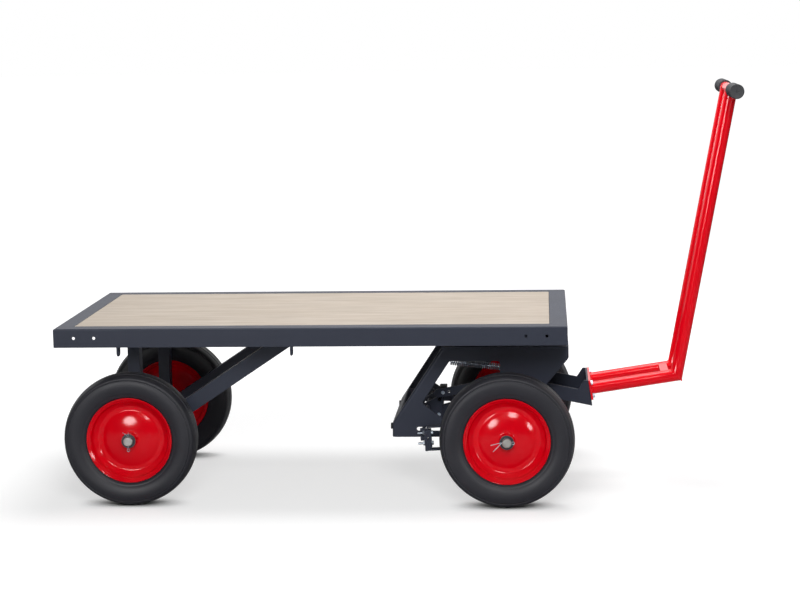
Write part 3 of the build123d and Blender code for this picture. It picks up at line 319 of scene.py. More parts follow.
def open_tree(name, taken, sizes, given):
    """A tree of geometry nodes with named sizes and a finish, and the sockets of its inlet."""
    tree = bpy.data.node_groups.new(name, "GeometryNodeTree")
    tree.interface.new_socket(taken, in_out="INPUT", socket_type="NodeSocketGeometry")
    for label, size in sizes.items():
        tree.interface.new_socket(label, in_out="INPUT", socket_type="NodeSocketFloat").default_value = size
    tree.interface.new_socket("Finish", in_out="INPUT", socket_type="NodeSocketMaterial")
    tree.interface.new_socket(given, in_out="OUTPUT", socket_type="NodeSocketGeometry")
    return tree, tree.nodes.new("NodeGroupInput").outputs


def close_tree(tree, copies, finish):
    """Ends a tree: the copies are made real and given their finish."""
    real = node(tree, "GeometryNodeRealizeInstances", {"Geometry": copies})
    done = node(tree, "GeometryNodeSetMaterial", {"Geometry": real.outputs[0], "Material": finish})
    tree.links.new(done.outputs[0], tree.nodes.new("NodeGroupOutput").inputs[0])
    return tree


def weld_tree():
    """Runs of weld: flattened ripples, each a little different, laid in a row along seams."""
    sizes = {"Bead radius": 0.0022, "Ripple step": 0.0022, "Ripple length": 0.75}
    tree, inlet = open_tree("weld_runs", "Seams", sizes, "Welds")
    runs = node(tree, "GeometryNodeMeshToCurve", {"Mesh": inlet["Seams"]})
    spacing = {"Curve": runs.outputs[0], "Length": inlet["Ripple step"]}
    steps = node(tree, "GeometryNodeResampleCurve", spacing, mode="LENGTH")
    ball = {"Segments": 8, "Rings": 5, "Radius": inlet["Bead radius"]}
    ripple = node(tree, "GeometryNodeMeshUVSphere", ball)
    way = node(tree, "GeometryNodeInputTangent")
    turned = node(tree, "FunctionNodeAlignRotationToVector", {"Vector": way.outputs[0]}, axis="Z")
    least_girth, most_girth = 0.88, 1.12
    girths = {2: least_girth, 3: most_girth, "Seed": 11}
    girth = node(tree, "FunctionNodeRandomValue", girths, data_type="FLOAT").outputs[1]
    size = node(tree, "ShaderNodeCombineXYZ", {"X": girth, "Y": girth, "Z": inlet["Ripple length"]})
    laid = node(
        tree,
        "GeometryNodeInstanceOnPoints",
        {
            "Points": steps.outputs[0],
            "Instance": ripple.outputs["Mesh"],
            "Rotation": turned.outputs[0],
            "Scale": size.outputs[0],
        },
    )
    return close_tree(tree, laid.outputs[0], inlet["Finish"])


weld_runs = weld_tree()


def grown(name, base, tree, inputs):
    """The plain mesh that a node tree makes from a base mesh, as a piece."""
    seed = bpy.data.objects.new(name, base)
    bpy.context.scene.collection.objects.link(seed)
    growth = seed.modifiers.new("growth", "NODES")
    growth.node_group = tree
    for item in tree.interface.items_tree:
        if item.in_out == "INPUT" and item.name in inputs:
            growth[item.identifier] = inputs[item.name]
    made = worked_mesh(seed)
    seed.modifiers.remove(growth)
    shape = bmesh.new()
    shape.from_mesh(made)
    bmesh.ops.recalc_face_normals(shape, faces=shape.faces)
    smooth_but_creased(shape)
    shape.to_mesh(made)
    shape.free()
    seed.data = made
    return seed


def seam_edges(source, on_seam):
    """The sharp edges of a solid with both ends where a seam runs, as pairs of points."""
    shape = solid_shape(source)
    found = [
        [end.co.copy() for end in edge.verts]
        for edge in shape.edges
        if edge.calc_face_angle(0.0) > crease_angle and all(on_seam(end.co) for end in edge.verts)
    ]
    shape.free()
    return found


def welds(name, body, seams, finish):
    """Weld beads along seams, fixed to a body."""
    base = bpy.data.meshes.new(name + "_seams")
    ends = [end for seam in seams for end in seam]
    base.from_pydata(ends, [(index, index + 1) for index in range(0, len(ends), 2)], [])
    joined = bmesh.new()
    joined.from_mesh(base)
    bmesh.ops.remove_doubles(joined, verts=joined.verts, dist=10 * same_point)
    joined.to_mesh(base)
    joined.free()
    beads = grown(name, base, weld_runs, {"Finish": finish})
    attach(beads, body)
    return beads


seam_reach = 0.0002
_, post_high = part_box("rear_posts")
brace_low, brace_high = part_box("rear_braces")
deck_seams = seam_edges("rear_posts", lambda point: abs(point.z - post_high.z) < seam_reach)
deck_seams += seam_edges("rear_braces", lambda point: abs(point.z - brace_high.z) < seam_reach)
deck_seams += seam_edges("rear_braces", lambda point: abs(point.x - brace_low.x) < seam_reach)
welds("welds_of_deck", "deck", deck_seams, dark_coat)

# Turntable: a steel plate under the deck, and two pressed races with balls between them, the
# upper race bolted to the plate and the lower one to the bogie. Plates coated, races oiled.
painted_dark("plate_under_deck", "turntable_plate")


gloss_swing = 0.2


def metal(name, colour, roughness, streak, scale, bare=1.0):
    """A metal, bare or under a thin pale film, its gloss and tone a little uneven."""
    finish, tree, shader = new_finish(name)
    shader["Metallic"].default_value = bare
    cloud = noise(tree, own_place(tree), scale, detail=4.0)
    tone = varied(tree, cloud, streak, 1.0 - streak / 2)
    dull = varied(tree, cloud, gloss_swing, roughness - gloss_swing / 2)
    tree.links.new(toned(tree, colour, tone), shader["Base Color"])
    tree.links.new(dull, shader["Roughness"])
    return finish


oiled_steel = metal("oiled_steel", linear(128, 130, 134), roughness=0.38, streak=0.3, scale=60.0)
bright_zinc = metal("bright_zinc", linear(216, 229, 244), roughness=0.42, streak=0.2, scale=240.0, bare=0.65)
race_ease = 0.0004
eased("race_above", "turntable_upper_race", oiled_steel, "plain_steel", ease=race_ease)
eased("race_below", "turntable_lower_race", oiled_steel, "plain_steel", ease=race_ease)
eased("balls_in_races", "turntable_balls", oiled_steel, "plain_steel", ease=0.0)


def bolt_tree():
    """Hexagon bolts on seats: a washer, a chamfered head, a shank behind it and a stud in front."""
    sizes = {
        "Head radius": 0.0065,
        "Head height": 0.005,
        "Washer radius": 0.009,
        "Washer height": 0.0012,
        "Shank radius": 0.004,
        "Shank length": 0.012,
        "Stud length": -0.001,
    }
    tree, inlet = open_tree("hexagon_bolts", "Seats", sizes, "Bolts")
    rod_points, tip_start = 7, 0.99

    def rod(radius, start, end, sides, chamfer):
        """A closed bar between two heights, its last part drawn in by the chamfer."""
        low = node(tree, "ShaderNodeCombineXYZ", {"Z": start}).outputs[0]
        high = node(tree, "ShaderNodeCombineXYZ", {"Z": end}).outputs[0]
        line = node(tree, "GeometryNodeCurvePrimitiveLine", {"Start": low, "End": high})
        parts = node(tree, "GeometryNodeResampleCurve", {"Curve": line.outputs[0], "Count": rod_points})
        along = node(tree, "GeometryNodeSplineParameter").outputs["Factor"]
        tip = node(tree, "FunctionNodeCompare", {0: along, 1: tip_start}, operation="GREATER_THAN")
        choice = {"Switch": tip.outputs[0], "False": 1.0, "True": chamfer}
        share = node(tree, "GeometryNodeSwitch", choice, input_type="FLOAT").outputs[0]
        ring = node(tree, "GeometryNodeCurvePrimitiveCircle", {"Resolution": sides, "Radius": 1.0})
        bar = {
            "Curve": parts.outputs[0],
            "Profile Curve": ring.outputs[0],
            "Scale": maths(tree, "MULTIPLY", share, radius),
            "Fill Caps": True,
        }
        return node(tree, "GeometryNodeCurveToMesh", bar).outputs[0]

    washer_top = inlet["Washer height"]
    head_top = maths(tree, "ADD", washer_top, inlet["Head height"])
    shank_end = maths(tree, "MULTIPLY", inlet["Shank length"], -1.0)
    stud_end = maths(tree, "ADD", head_top, inlet["Stud length"])
    shells = node(tree, "GeometryNodeJoinGeometry")
    for shell in (
        rod(inlet["Washer radius"], 0.0, washer_top, sides=24, chamfer=0.97),
        rod(inlet["Head radius"], washer_top, head_top, sides=6, chamfer=0.86),
        rod(inlet["Shank radius"], washer_top, shank_end, sides=16, chamfer=0.85),
        rod(inlet["Shank radius"], 0.0, stud_end, sides=16, chamfer=0.8),
    ):
        tree.links.new(shell, shells.inputs[0])
    axis = node(tree, "GeometryNodeInputNamedAttribute", {"Name": "seat_axis"}, data_type="FLOAT_VECTOR")
    facing = node(tree, "FunctionNodeAlignRotationToVector", {"Vector": axis.outputs[0]}, axis="Z")
    spin = node(tree, "FunctionNodeRandomValue", {2: 0.0, 3: math.tau, "Seed": 7}, data_type="FLOAT")
    about = node(tree, "FunctionNodeAxisAngleToRotation", {"Axis": (0, 0, 1), "Angle": spin.outputs[1]})
    turn = {"Rotation": facing.outputs[0], "Rotate By": about.outputs[0]}
    turned = node(tree, "FunctionNodeRotateRotation", turn, rotation_space="LOCAL")
    places = {"Points": inlet["Seats"], "Instance": shells.outputs[0], "Rotation": turned.outputs[0]}
    placed = node(tree, "GeometryNodeInstanceOnPoints", places)
    return close_tree(tree, placed.outputs[0], inlet["Finish"])


hexagon_bolts = bolt_tree()


def bolts(name, seats, sizes, finish):
    """Bolts on seats, each a place and the way that its head faces."""
    base = bpy.data.meshes.new(name + "_seats")
    base.from_pydata([place for place, _ in seats], [], [])
    axes = base.attributes.new("seat_axis", "FLOAT_VECTOR", "POINT")
    axes.data.foreach_set("vector", [part for _, axis in seats for part in axis])
    return grown(name, base, hexagon_bolts, {**sizes, "Finish": finish})


def middle_of(source):
    """The middle of a solid's box."""
    low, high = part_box(source)
    return (low + high) / 2


race_bolt_count, race_bolt_head = 6, 0.005


def ring_of_seats(source, height, facing, circle):
    """Bolt seats spaced round a race, at one height."""
    middle = middle_of(source)
    seats = []
    for step in range(race_bolt_count):
        angle = math.tau * step / race_bolt_count
        place = (middle.x + circle * math.cos(angle), middle.y + circle * math.sin(angle), height)
        seats.append((place, (0, 0, facing)))
    return seats


upper_bolts_low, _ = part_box("upper_race_bolts")
_, lower_bolts_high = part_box("lower_race_bolts")
upper_circle, lower_circle = 0.1055, 0.1445
upper_seats = ring_of_seats("turntable_upper_race", upper_bolts_low.z + race_bolt_head, -1, upper_circle)
lower_seats = ring_of_seats("turntable_lower_race", lower_bolts_high.z - race_bolt_head, 1, lower_circle)
race_sizes = {"Washer radius": 0.0069, "Washer height": 0.0006, "Head height": 0.0043}
upper_bolts = bolts("bolts_of_upper_race", upper_seats, {**race_sizes, "Shank length": 0.012}, bright_zinc)
put_on(upper_bolts, "upper_race_bolts")
lower_bolts = bolts("bolts_of_lower_race", lower_seats, {**race_sizes, "Shank length": 0.010}, bright_zinc)
put_on(lower_bolts, "lower_race_bolts")

# Bogie: one folded 5 mm sheet with cut-outs in its sides, and a top plate whose slots take the
# sheet's tabs. Lugs welded inside hold the spring and the brake lever. Coated dark grey.
painted_dark("bogie_sheet", "bogie_bracket")
painted_dark("bogie_top", "bogie_top_plate")
painted_dark("lugs_in_bogie", "panel_lugs")
black_oxide = metal("black_oxide", linear(34, 34, 36), roughness=0.42, streak=0.3, scale=200.0)
_, foot_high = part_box("foot_bolts")
foot_bolt_height = middle_of("foot_bolts").z
foot_bolt_radius = 0.009
foot_bolt_reach = foot_high.y - foot_bolt_radius
foot_seats = [((foot_high.x, side * foot_bolt_reach, foot_bolt_height), (-1, 0, 0)) for side in (-1, 1)]
foot_sizes = {
    "Head radius": 0.0088,
    "Head height": 0.0048,
    "Washer radius": foot_bolt_radius,
    "Washer height": 0.0010,
    "Shank radius": 0.005,
    "Shank length": 0.004,
}
put_on(bolts("bolts_in_foot", foot_seats, foot_sizes, black_oxide), "foot_bolts")
lugs_low, lugs_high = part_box("panel_lugs")
hanger_depth = 0.02
lug_seams = seam_edges("panel_lugs", lambda point: abs(point.z - lugs_high.z) < seam_reach)
lug_seams += seam_edges("panel_lugs", lambda point: point.x < lugs_low.x + hanger_depth)
welds("welds_in_bogie", "bogie", lug_seams, dark_coat)


# Axles: turned steel bars, faced at the ends, with plain steel collars each side of the hubs.
# A split pin through each end keeps the outer collar on.
def length_of(tree, vector):
    """The length of a vector."""
    return node(tree, "ShaderNodeVectorMath", {0: vector}, operation="LENGTH").outputs["Value"]


def turned_steel(name, colour, axle):
    """Steel with fine turning marks about an axle."""
    middle = middle_of(axle)
    ridge_rate = 9000.0
    finish = metal(name, colour, roughness=0.4, streak=0.25, scale=90.0)
    tree = finish.node_tree
    about_axle = {
        "Vector": own_place(tree),
        "Location": (-middle.x, 0.0, -middle.z),
        "Scale": (1.0, 0.0, 1.0),
    }
    reach = length_of(tree, node(tree, "ShaderNodeMapping", about_axle).outputs[0])
    ridges = maths(tree, "SINE", maths(tree, "MULTIPLY", reach, ridge_rate))
    bumped(tree, tree.nodes["Principled BSDF"].inputs, ridges, strength=0.25, depth=0.0001)
    return finish


dark_steel = metal("dark_steel", linear(74, 76, 80), roughness=0.36, streak=0.3, scale=90.0)
for end in ("rear", "front"):
    steel = turned_steel(f"turned_steel_{end}", linear(164, 163, 159), f"{end}_axle")
    eased(f"{end}_axle_bar", f"{end}_axle", steel, "plain_steel", ease=0.0)
    eased(f"{end}_collars", f"{end}_axle_collars", dark_steel, "plain_steel", ease=0.0006)


def wire_piece(name, lines, radius, finish, sides):
    """Round wire along lines of points, as one mesh."""
    curve = bpy.data.curves.new(name, "CURVE")
    curve.dimensions = "3D"
    curve.bevel_depth = radius
    curve.bevel_resolution = sides // 2 - 2
    curve.use_fill_caps = True
    for points in lines:
        spline = curve.splines.new("POLY")
        spline.points.add(len(points) - 1)
        for control, point in zip(spline.points, points):
            control.co = (*point, 1.0)
    wire = bpy.data.objects.new(name, curve)
    bpy.context.scene.collection.objects.link(wire)
    mesh = worked_mesh(wire)
    bpy.data.objects.remove(wire)
    shape = bmesh.new()
    shape.from_mesh(mesh)
    bmesh.ops.remove_doubles(shape, verts=shape.verts, dist=same_point)
    bmesh.ops.recalc_face_normals(shape, faces=shape.faces)
    return as_piece(name, shape, finish)


leg_gap, leg_bend, leg_straight, leg_turned = 0.0008, 0.0004, 0.0125, 0.0145
eye_radius, eye_neck, eye_steps, eye_half_sweep = 0.0034, 0.006, 16, math.radians(150)


def split_pin(middle, eye_way, spread_way, eye_reach, tips):
    """Line of a split pin: in along one leg, round the eye and back along the other leg."""

    def spot(along, aside):
        """A point so far towards the eye, and so far to the side."""
        return middle + eye_way * along + spread_way * aside

    def leg(side, tip_reach, tip_spread):
        """One leg, from its bent tip to the neck of the eye."""
        return [
            spot(-tip_reach, side * tip_spread),
            spot(-leg_turned, side * (leg_gap + leg_bend)),
            spot(-leg_straight, side * leg_gap),
            spot(eye_reach - eye_neck, side * leg_gap),
        ]

    eye = []
    for step in range(eye_steps + 1):
        angle = eye_half_sweep * (1 - 2 * step / eye_steps)
        eye.append(spot(eye_reach + eye_radius * math.cos(angle), eye_radius * math.sin(angle)))
    return leg(1, *tips[0]) + eye + leg(-1, *tips[1])[::-1]


dull_zinc = metal("dull_zinc", linear(164, 172, 182), roughness=0.42, streak=0.3, scale=240.0)
pin_wire_radius, pin_half_width = 0.00078, 0.0016
pin_shapes = {
    "rear": {
        "eye_way": Vector((0, 0, -1)),
        "spread_way": Vector((-1, 0, 0)),
        "eye_reach": 0.024,
        "tips": [(0.024, 0.014), (0.024, 0.0012)],
    },
    "front": {
        "eye_way": Vector((1, 0, 0)),
        "spread_way": Vector((0, 0, -1)),
        "eye_reach": 0.0165,
        "tips": [(0.036, 0.023), (0.042, -0.006)],
    },
}
for end, pin_shape in pin_shapes.items():
    _, split_pins_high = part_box(f"{end}_split_pins")
    axle_middle = middle_of(f"{end}_axle")
    pin_y = split_pins_high.y - pin_half_width
    pin_middles = [Vector((axle_middle.x, side * pin_y, axle_middle.z)) for side in (-1, 1)]
    pin_lines = [split_pin(middle, **pin_shape) for middle in pin_middles]
    pins = wire_piece(f"pins_of_{end}_axle", pin_lines, pin_wire_radius, dull_zinc, sides=10)
    put_on(pins, f"{end}_split_pins")


# Wheels: a pressed steel rim in gloss red with a domed disc, welded to a tube hub, and a solid
# foam tyre with a plain ribbed tread and moulded rings near its shoulders.
def lathe(name, outline, middle, outward, finish, steps):
    """A closed outline of (along the axle, from the axle) points turned about an axle."""
    shape = bmesh.new()
    rings = []
    for step in range(steps):
        angle = math.tau * step / steps
        across, up = math.cos(angle), math.sin(angle)
        places = [
            (middle.x + reach * across, middle.y + outward * along, middle.z + reach * up)
            for along, reach in outline
        ]
        rings.append([shape.verts.new(place) for place in places])
    count = len(outline)
    for step in range(steps):
        here, there = rings[step], rings[(step + 1) % steps]
        for index in range(count):
            after = (index + 1) % count
            shape.faces.new((here[index], here[after], there[after], there[index]))
    bmesh.ops.recalc_face_normals(shape, faces=shape.faces)
    return as_piece(name, shape, finish)


def mirrored(half):
    """An outline's outer half in millimetres, joined to its mirror image, in metres."""
    outer = [(along / 1000, reach / 1000) for along, reach in half]
    return outer + [(-along, reach) for along, reach in reversed(outer)]


tyre_bead = [
    (24.2, 106.5),
    (30.2, 114.0),
    (32.6, 116.0),
    (35.6, 118.6),
    (37.0, 120.4),
    (37.5, 121.8),
    (37.6, 123.0),
]
tyre_flank = [
    (38.6, 124.4),
    (40.6, 127.6),
    (42.4, 132.0),
    (43.9, 138.0),
    (44.8, 144.0),
    (45.0, 149.0),
    (44.6, 154.0),
    (43.9, 158.0),
]
tyre_rings = [
    (43.5, 159.6),
    (43.6, 160.6),
    (43.3, 161.8),
    (42.6, 162.6),
    (41.3, 163.0),
    (40.7, 163.8),
    (40.7, 164.8),
    (41.2, 165.6),
    (41.0, 167.0),
    (39.9, 168.9),
]
tyre_shoulder = [(37.6, 170.8), (34.0, 172.6), (29.0, 174.4), (24.0, 175.7), (22.0, 176.1)]
tyre_outer_groove = [(21.4, 175.6), (21.0, 173.6), (19.0, 173.8), (18.6, 175.9)]
tyre_rib = [(18.0, 176.7), (12.0, 177.5), (6.0, 177.9), (2.2, 178.0)]
tyre_middle_groove = [(1.6, 177.4), (1.2, 175.4)]
tyre_half = tyre_bead + tyre_flank + tyre_rings + tyre_shoulder
tyre_half += tyre_outer_groove + tyre_rib + tyre_middle_groove
rim_back = [(1.0, 93.0), (4.0, 98.0), (8.0, 103.0), (12.0, 104.0)]
rim_lip = [
    (24.5, 106.5),
    (30.4, 113.2),
    (31.0, 113.9),
    (32.0, 114.4),
    (33.0, 114.2),
    (33.7, 113.4),
    (33.8, 112.4),
    (33.3, 111.5),
    (32.0, 110.2),
]
rim_well = [
    (30.2, 107.8),
    (28.8, 105.8),
    (27.4, 104.2),
    (25.6, 103.2),
    (22.0, 102.4),
    (17.0, 101.4),
    (14.6, 100.7),
    (13.0, 99.7),
    (11.4, 97.9),
    (8.4, 94.4),
    (5.6, 91.2),
    (4.2, 89.5),
    (3.2, 87.6),
]
rim_dome = [
    (2.8, 85.6),
    (2.6, 81.0),
    (2.7, 77.0),
    (3.2, 75.0),
    (4.4, 72.6),
    (6.6, 68.4),
    (9.2, 62.4),
    (11.8, 54.6),
    (14.0, 46.0),
    (15.7, 37.0),
    (16.8, 29.6),
    (17.2, 26.0),
]
rim_collar = [(17.2, 24.0), (17.6, 22.4), (18.6, 21.0), (20.4, 20.2), (20.4, 19.6)]
rim_half = rim_back + rim_lip + rim_well + rim_dome + rim_collar
red_gloss = coated(
    "red_gloss_coat", linear(231, 0, 24), gloss=0.13, mottle=0.04, peel_depth=0.00002, specular=0.26
)


def rubber(name, colour, roughness, grain, depth):
    """Moulded black rubber, faintly clouded, with a fine grain."""
    finish, tree, shader = new_finish(name)
    shader["Specular IOR Level"].default_value = 0.26
    place = own_place(tree)
    cloud = noise(tree, place, scale=14.0, detail=5.0)
    tone = varied(tree, cloud, swing=0.35, base=0.82)
    dull = varied(tree, cloud, gloss_swing, roughness - gloss_swing / 2)
    dusted(tree, shader, toned(tree, colour, tone), dull, amount=0.04)
    bumped(tree, shader, noise(tree, place, grain, detail=3.0), strength=0.4, depth=depth)
    return finish


tyre_rubber = rubber("tyre_rubber", linear(44, 44, 51), roughness=0.48, grain=900.0, depth=0.00012)
bearing_black = rubber("bearing_black", linear(30, 30, 32), roughness=0.45, grain=600.0, depth=0.00008)
tyre_outline, rim_outline = mirrored(tyre_half), mirrored(rim_half)
wheel_steps = 160
for end in ("rear", "front"):
    for side, outward in (("right", -1), ("left", 1)):
        wheel = f"{end}_{side}"
        hub_middle = middle_of(f"tyre_{wheel}")
        tyre = lathe(f"foam_tyre_{wheel}", tyre_outline, hub_middle, outward, tyre_rubber, wheel_steps)
        put_on(tyre, f"tyre_{wheel}")
        rim = lathe(f"pressed_rim_{wheel}", rim_outline, hub_middle, outward, red_gloss, wheel_steps)
        put_on(rim, f"rim_{wheel}")
        eased(f"hub_tube_{wheel}", f"hub_{wheel}", red_gloss, "red_paint", ease=0.0006)
        eased(f"bushes_{wheel}", f"bearings_{wheel}", bearing_black, "bearing_steel", ease=0.0004)

# Drawbar fork: folded sheet on a tube that turns on the shaft across the bogie, with a flat tail
# arm welded to the tube and a rubber buffer bolted inside the arm's end.
eased("shaft_in_bogie", "drawbar_shaft", oiled_steel, "plain_steel", ease=0.0006)
painted_dark("fork", "drawbar_fork")
painted_dark("tube_on_shaft", "drawbar_pivot_tube")
painted_dark("arm_of_tail", "tail_arm", ease=0.0009)
buffer_rubber = rubber("buffer_rubber", linear(38, 38, 40), roughness=0.6, grain=500.0, depth=0.0002)
eased("buffer_on_tail", "tail_buffer", buffer_rubber, "grip_rubber", ease=0.0016)
tail_middle = middle_of("tail_bolt")
arm_low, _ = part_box("tail_arm")
tail_seats = [((tail_middle.x, arm_low.y, tail_middle.z), (0, -1, 0))]
small_head = {"Head radius": 0.0046, "Washer radius": 0.0050, "Washer height": 0.0008, "Head height": 0.0041}
tail_bolt = bolts("bolt_in_tail", tail_seats, {**small_head, "Shank length": 0.018}, bright_zinc)
put_on(tail_bolt, "tail_bolt")

# Drawbar: a red flange bolted to the fork, two steel tubes welded to it, mitred at the bend and
# coped to the handle tube, and a flat tie bar. All one weldment in gloss red powder coat.
red_coat = coated(
    "red_powder_coat", linear(255, 4, 28), gloss=0.15, mottle=0.03, peel_depth=0.00001, specular=0.26
)
eased("flange", "drawbar_flange", red_coat, "red_paint")
eased("tie_bar", "drawbar_tie_bar", red_coat, "red_paint")
flange_rise = math.radians(8.7)
flange_half_thickness, flange_bolt_reach, flange_bolt_rise = 0.003, 0.089, 0.018
draw_way = Vector((math.cos(flange_rise), 0, math.sin(flange_rise)))
draw_up = Vector((-math.sin(flange_rise), 0, math.cos(flange_rise)))
flange_middle = middle_of("drawbar_flange")
flange_face = flange_middle + draw_way * flange_half_thickness
flange_seats = [
    (flange_face + Vector((0, side * flange_bolt_reach, 0)) + draw_up * (lift * flange_bolt_rise), draw_way)
    for side in (-1, 1)
    for lift in (-1, 1)
]
flange_sizes = {
    "Washer radius": 0.0069,
    "Washer height": 0.0008,
    "Head height": 0.0046,
    "Shank length": 0.011,
}
put_on(bolts("bolts_in_flange", flange_seats, flange_sizes, bright_zinc), "flange_bolts")
tube_lean, bend_reach = math.radians(10.5), 0.236
tube_way = Vector((math.sin(tube_lean), 0, math.cos(tube_lean)))
tube_across = Vector((tube_way.z, 0, -tube_way.x))
bend = flange_middle + draw_way * bend_reach
mitre_way = (draw_way + tube_way).normalized()
_, handle_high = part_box("handle_tube")
handle_middle = middle_of("handle_tube")
tube_radius, tube_half_spacing, handle_radius, handle_bore = 0.01685, 0.070, 0.014, 0.0115


def tube_line(angle, shift):
    """Points down one side of a bent tube: flange, mitre and where it meets the handle."""
    out = Vector((0, 1, 0)) * math.cos(angle) + draw_up * math.sin(angle)
    start = flange_face + shift + out * tube_radius
    corner = start + draw_way * ((bend + shift - start).dot(mitre_way) / draw_way.dot(mitre_way))
    short = corner - handle_middle
    chord = math.sqrt(max(handle_radius**2 - short.dot(tube_across) ** 2, 0.0))
    end = corner - tube_way * (short.dot(tube_way) + chord)
    return start, corner, end


tube_sides, lower_steps, upper_steps = 48, 6, 18
tube_shape = bmesh.new()
for side in (-1, 1):
    shift = Vector((0, side * tube_half_spacing, 0))
    strips = []
    for index in range(tube_sides):
        start, corner, end = tube_line(math.tau * index / tube_sides, shift)
        run = [start.lerp(corner, step / lower_steps) for step in range(lower_steps)]
        run += [corner.lerp(end, step / upper_steps) for step in range(upper_steps + 1)]
        strips.append([tube_shape.verts.new(point) for point in run])
    for index, strip in enumerate(strips):
        beside = strips[(index + 1) % tube_sides]
        for step in range(len(strip) - 1):
            tube_shape.faces.new((strip[step], beside[step], beside[step + 1], strip[step + 1]))
    tube_shape.faces.new([strip[0] for strip in strips])
    tube_shape.faces.new([strip[-1] for strip in strips])
bmesh.ops.recalc_face_normals(tube_shape, faces=tube_shape.faces)
put_on(as_piece("tubes", tube_shape, red_coat), "drawbar_tubes")
handle_line = Vector((handle_middle.x, 0, handle_middle.z))
handle_end = handle_high.y
handle_outline = [
    (-handle_end, handle_bore),
    (-handle_end, handle_radius),
    (handle_end, handle_radius),
    (handle_end, handle_bore),
]
handle = lathe("handle", handle_outline, handle_line, 1, red_coat, steps=64)
put_on(handle, "handle_tube")


def meets_handle(point):
    """Whether a point lies on the face of the handle tube."""
    return abs((Vector((point.x, 0, point.z)) - handle_middle).length - handle_radius) < seam_reach


tube_seams = seam_edges("drawbar_tubes", lambda point: abs((point - flange_face).dot(draw_way)) < seam_reach)
tube_seams += seam_edges("drawbar_tubes", lambda point: abs((point - bend).dot(mitre_way)) < seam_reach)
tube_seams += seam_edges("drawbar_tubes", meets_handle)
welds("welds_of_drawbar", "drawbar", tube_seams, red_coat)

# Grips: moulded black rubber pushed over the ends of the handle, ribbed round, with a rolled
# edge and a dimple in the closed end.
grip_rubber = rubber("grip_rubber", linear(64, 65, 69), roughness=0.55, grain=700.0, depth=0.00012)
_, grip_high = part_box("handle_grips")
grip_middle = middle_of("handle_grips")
grip_length, grip_bore, rib_margin, rib_count = 0.12, 0.0142, 0.008, 34
grip_mouth = [(0.0, grip_bore), (0.0, 0.0182), (0.0012, 0.0194), (0.0070, 0.0194)]
rib_wave = [(0.0, 0.0188), (0.25, 0.0190), (0.5, 0.0193), (0.75, 0.0190)]
grip_cap = [
    (0.0080, 0.0189),
    (0.0072, 0.0194),
    (0.0024, 0.0195),
    (0.0008, 0.0188),
    (0.0001, 0.0174),
    (0.0004, 0.0160),
    (0.0012, 0.0120),
    (0.0014, 0.0060),
    (0.0016, 0.0036),
    (0.0028, 0.0022),
    (0.0034, 0.0004),
    (0.0060, 0.0004),
    (0.0060, grip_bore),
]
grip_start, grip_end = grip_high.y - grip_length, grip_high.y
rib_start = grip_start + rib_margin
rib_pitch = (grip_length - 2 * rib_margin) / rib_count
grip_outline = [(grip_start + inset, reach) for inset, reach in grip_mouth]
for rib in range(rib_count):
    grip_outline += [(rib_start + (rib + share) * rib_pitch, reach) for share, reach in rib_wave]
grip_outline += [(grip_end - inset, reach) for inset, reach in grip_cap]
grip_line = Vector((grip_middle.x, 0, grip_middle.z))
grip_right = lathe("grip_right", grip_outline, grip_line, -1, grip_rubber, steps=72)
grip_left = lathe("grip_left", grip_outline, grip_line, 1, grip_rubber, steps=72)
put_on(grip_right, "handle_grips")
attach(grip_left, "drawbar")

# Return spring: zinc plated wire wound close, hooked into a lug on the bogie at the rear and a
# lug on the drawbar's tube in front.
spring_low, spring_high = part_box("return_spring")
rear_hook_height, front_hook_height = 0.331, 0.313
coil_radius, wire_radius, hook_length, hook_straight = 0.0085, 0.0015, 0.011, 0.002
spring_turns, turn_steps = 24, 32
spring_rear = Vector((spring_low.x, 0, rear_hook_height))
spring_front = Vector((spring_high.x, 0, front_hook_height))
spring_way = (spring_front - spring_rear).normalized()
spring_up = Vector((-spring_way.z, 0, spring_way.x))
coil_length = (spring_front - spring_rear).length - 2 * hook_length
coil_steps = spring_turns * turn_steps
spring_line = [spring_rear, spring_rear + spring_way * hook_straight]
for step in range(coil_steps + 1):
    angle = math.tau * step / turn_steps
    along = hook_length + coil_length * step / coil_steps
    out = Vector((0, 1, 0)) * math.cos(angle) + spring_up * math.sin(angle)
    spring_line.append(spring_rear + spring_way * along + out * coil_radius)
spring_line += [spring_front - spring_way * hook_straight, spring_front]
spring_wire = metal("spring_wire", linear(176, 184, 196), roughness=0.24, streak=0.2, scale=240.0)
spring = wire_piece("wound_spring", [spring_line], wire_radius, spring_wire, sides=12)
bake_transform(spring)
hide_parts("return_spring")

# Brake: a lever under the tail pulls a slotted yoke, which draws a bar and two steel bands on
# the drums of the front hubs. Bands end between bolted clamp plates. Coated, with zinc bolts.
painted_dark("lever_plates", "brake_lever")
pins_low, pins_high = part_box("brake_lever_pins")
_, lever_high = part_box("brake_lever")
roller_radius, roller_chamfer, near_axis = 0.005, 0.0008, 0.0002
roller_line = Vector((pins_high.x - roller_radius, 0, pins_high.z - roller_radius))
roller_outline = [
    (pins_low.y, near_axis),
    (pins_low.y, roller_radius - roller_chamfer),
    (pins_low.y + roller_chamfer, roller_radius),
    (pins_high.y - roller_chamfer, roller_radius),
    (pins_high.y, roller_radius - roller_chamfer),
    (pins_high.y, near_axis),
]
roller = lathe("roller_of_lever", roller_outline, roller_line, 1, black_oxide, steps=32)
put_on(roller, "brake_lever_pins")
hexagon_reach = 0.007
lever_bolt_x = pins_low.x + hexagon_reach
lever_bolt_z = pins_low.z + hexagon_reach * math.cos(math.radians(30))
lever_seats = [((lever_bolt_x, side * lever_high.y, lever_bolt_z), (0, side, 0)) for side in (-1, 1)]
lever_bolt = bolts("bolt_of_lever", lever_seats, {**small_head, "Shank length": 0.0524}, bright_zinc)
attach(lever_bolt, "lever")
painted_dark("bar_and_yoke", "brake_bar")
painted_dark("bands", "brake_bands")
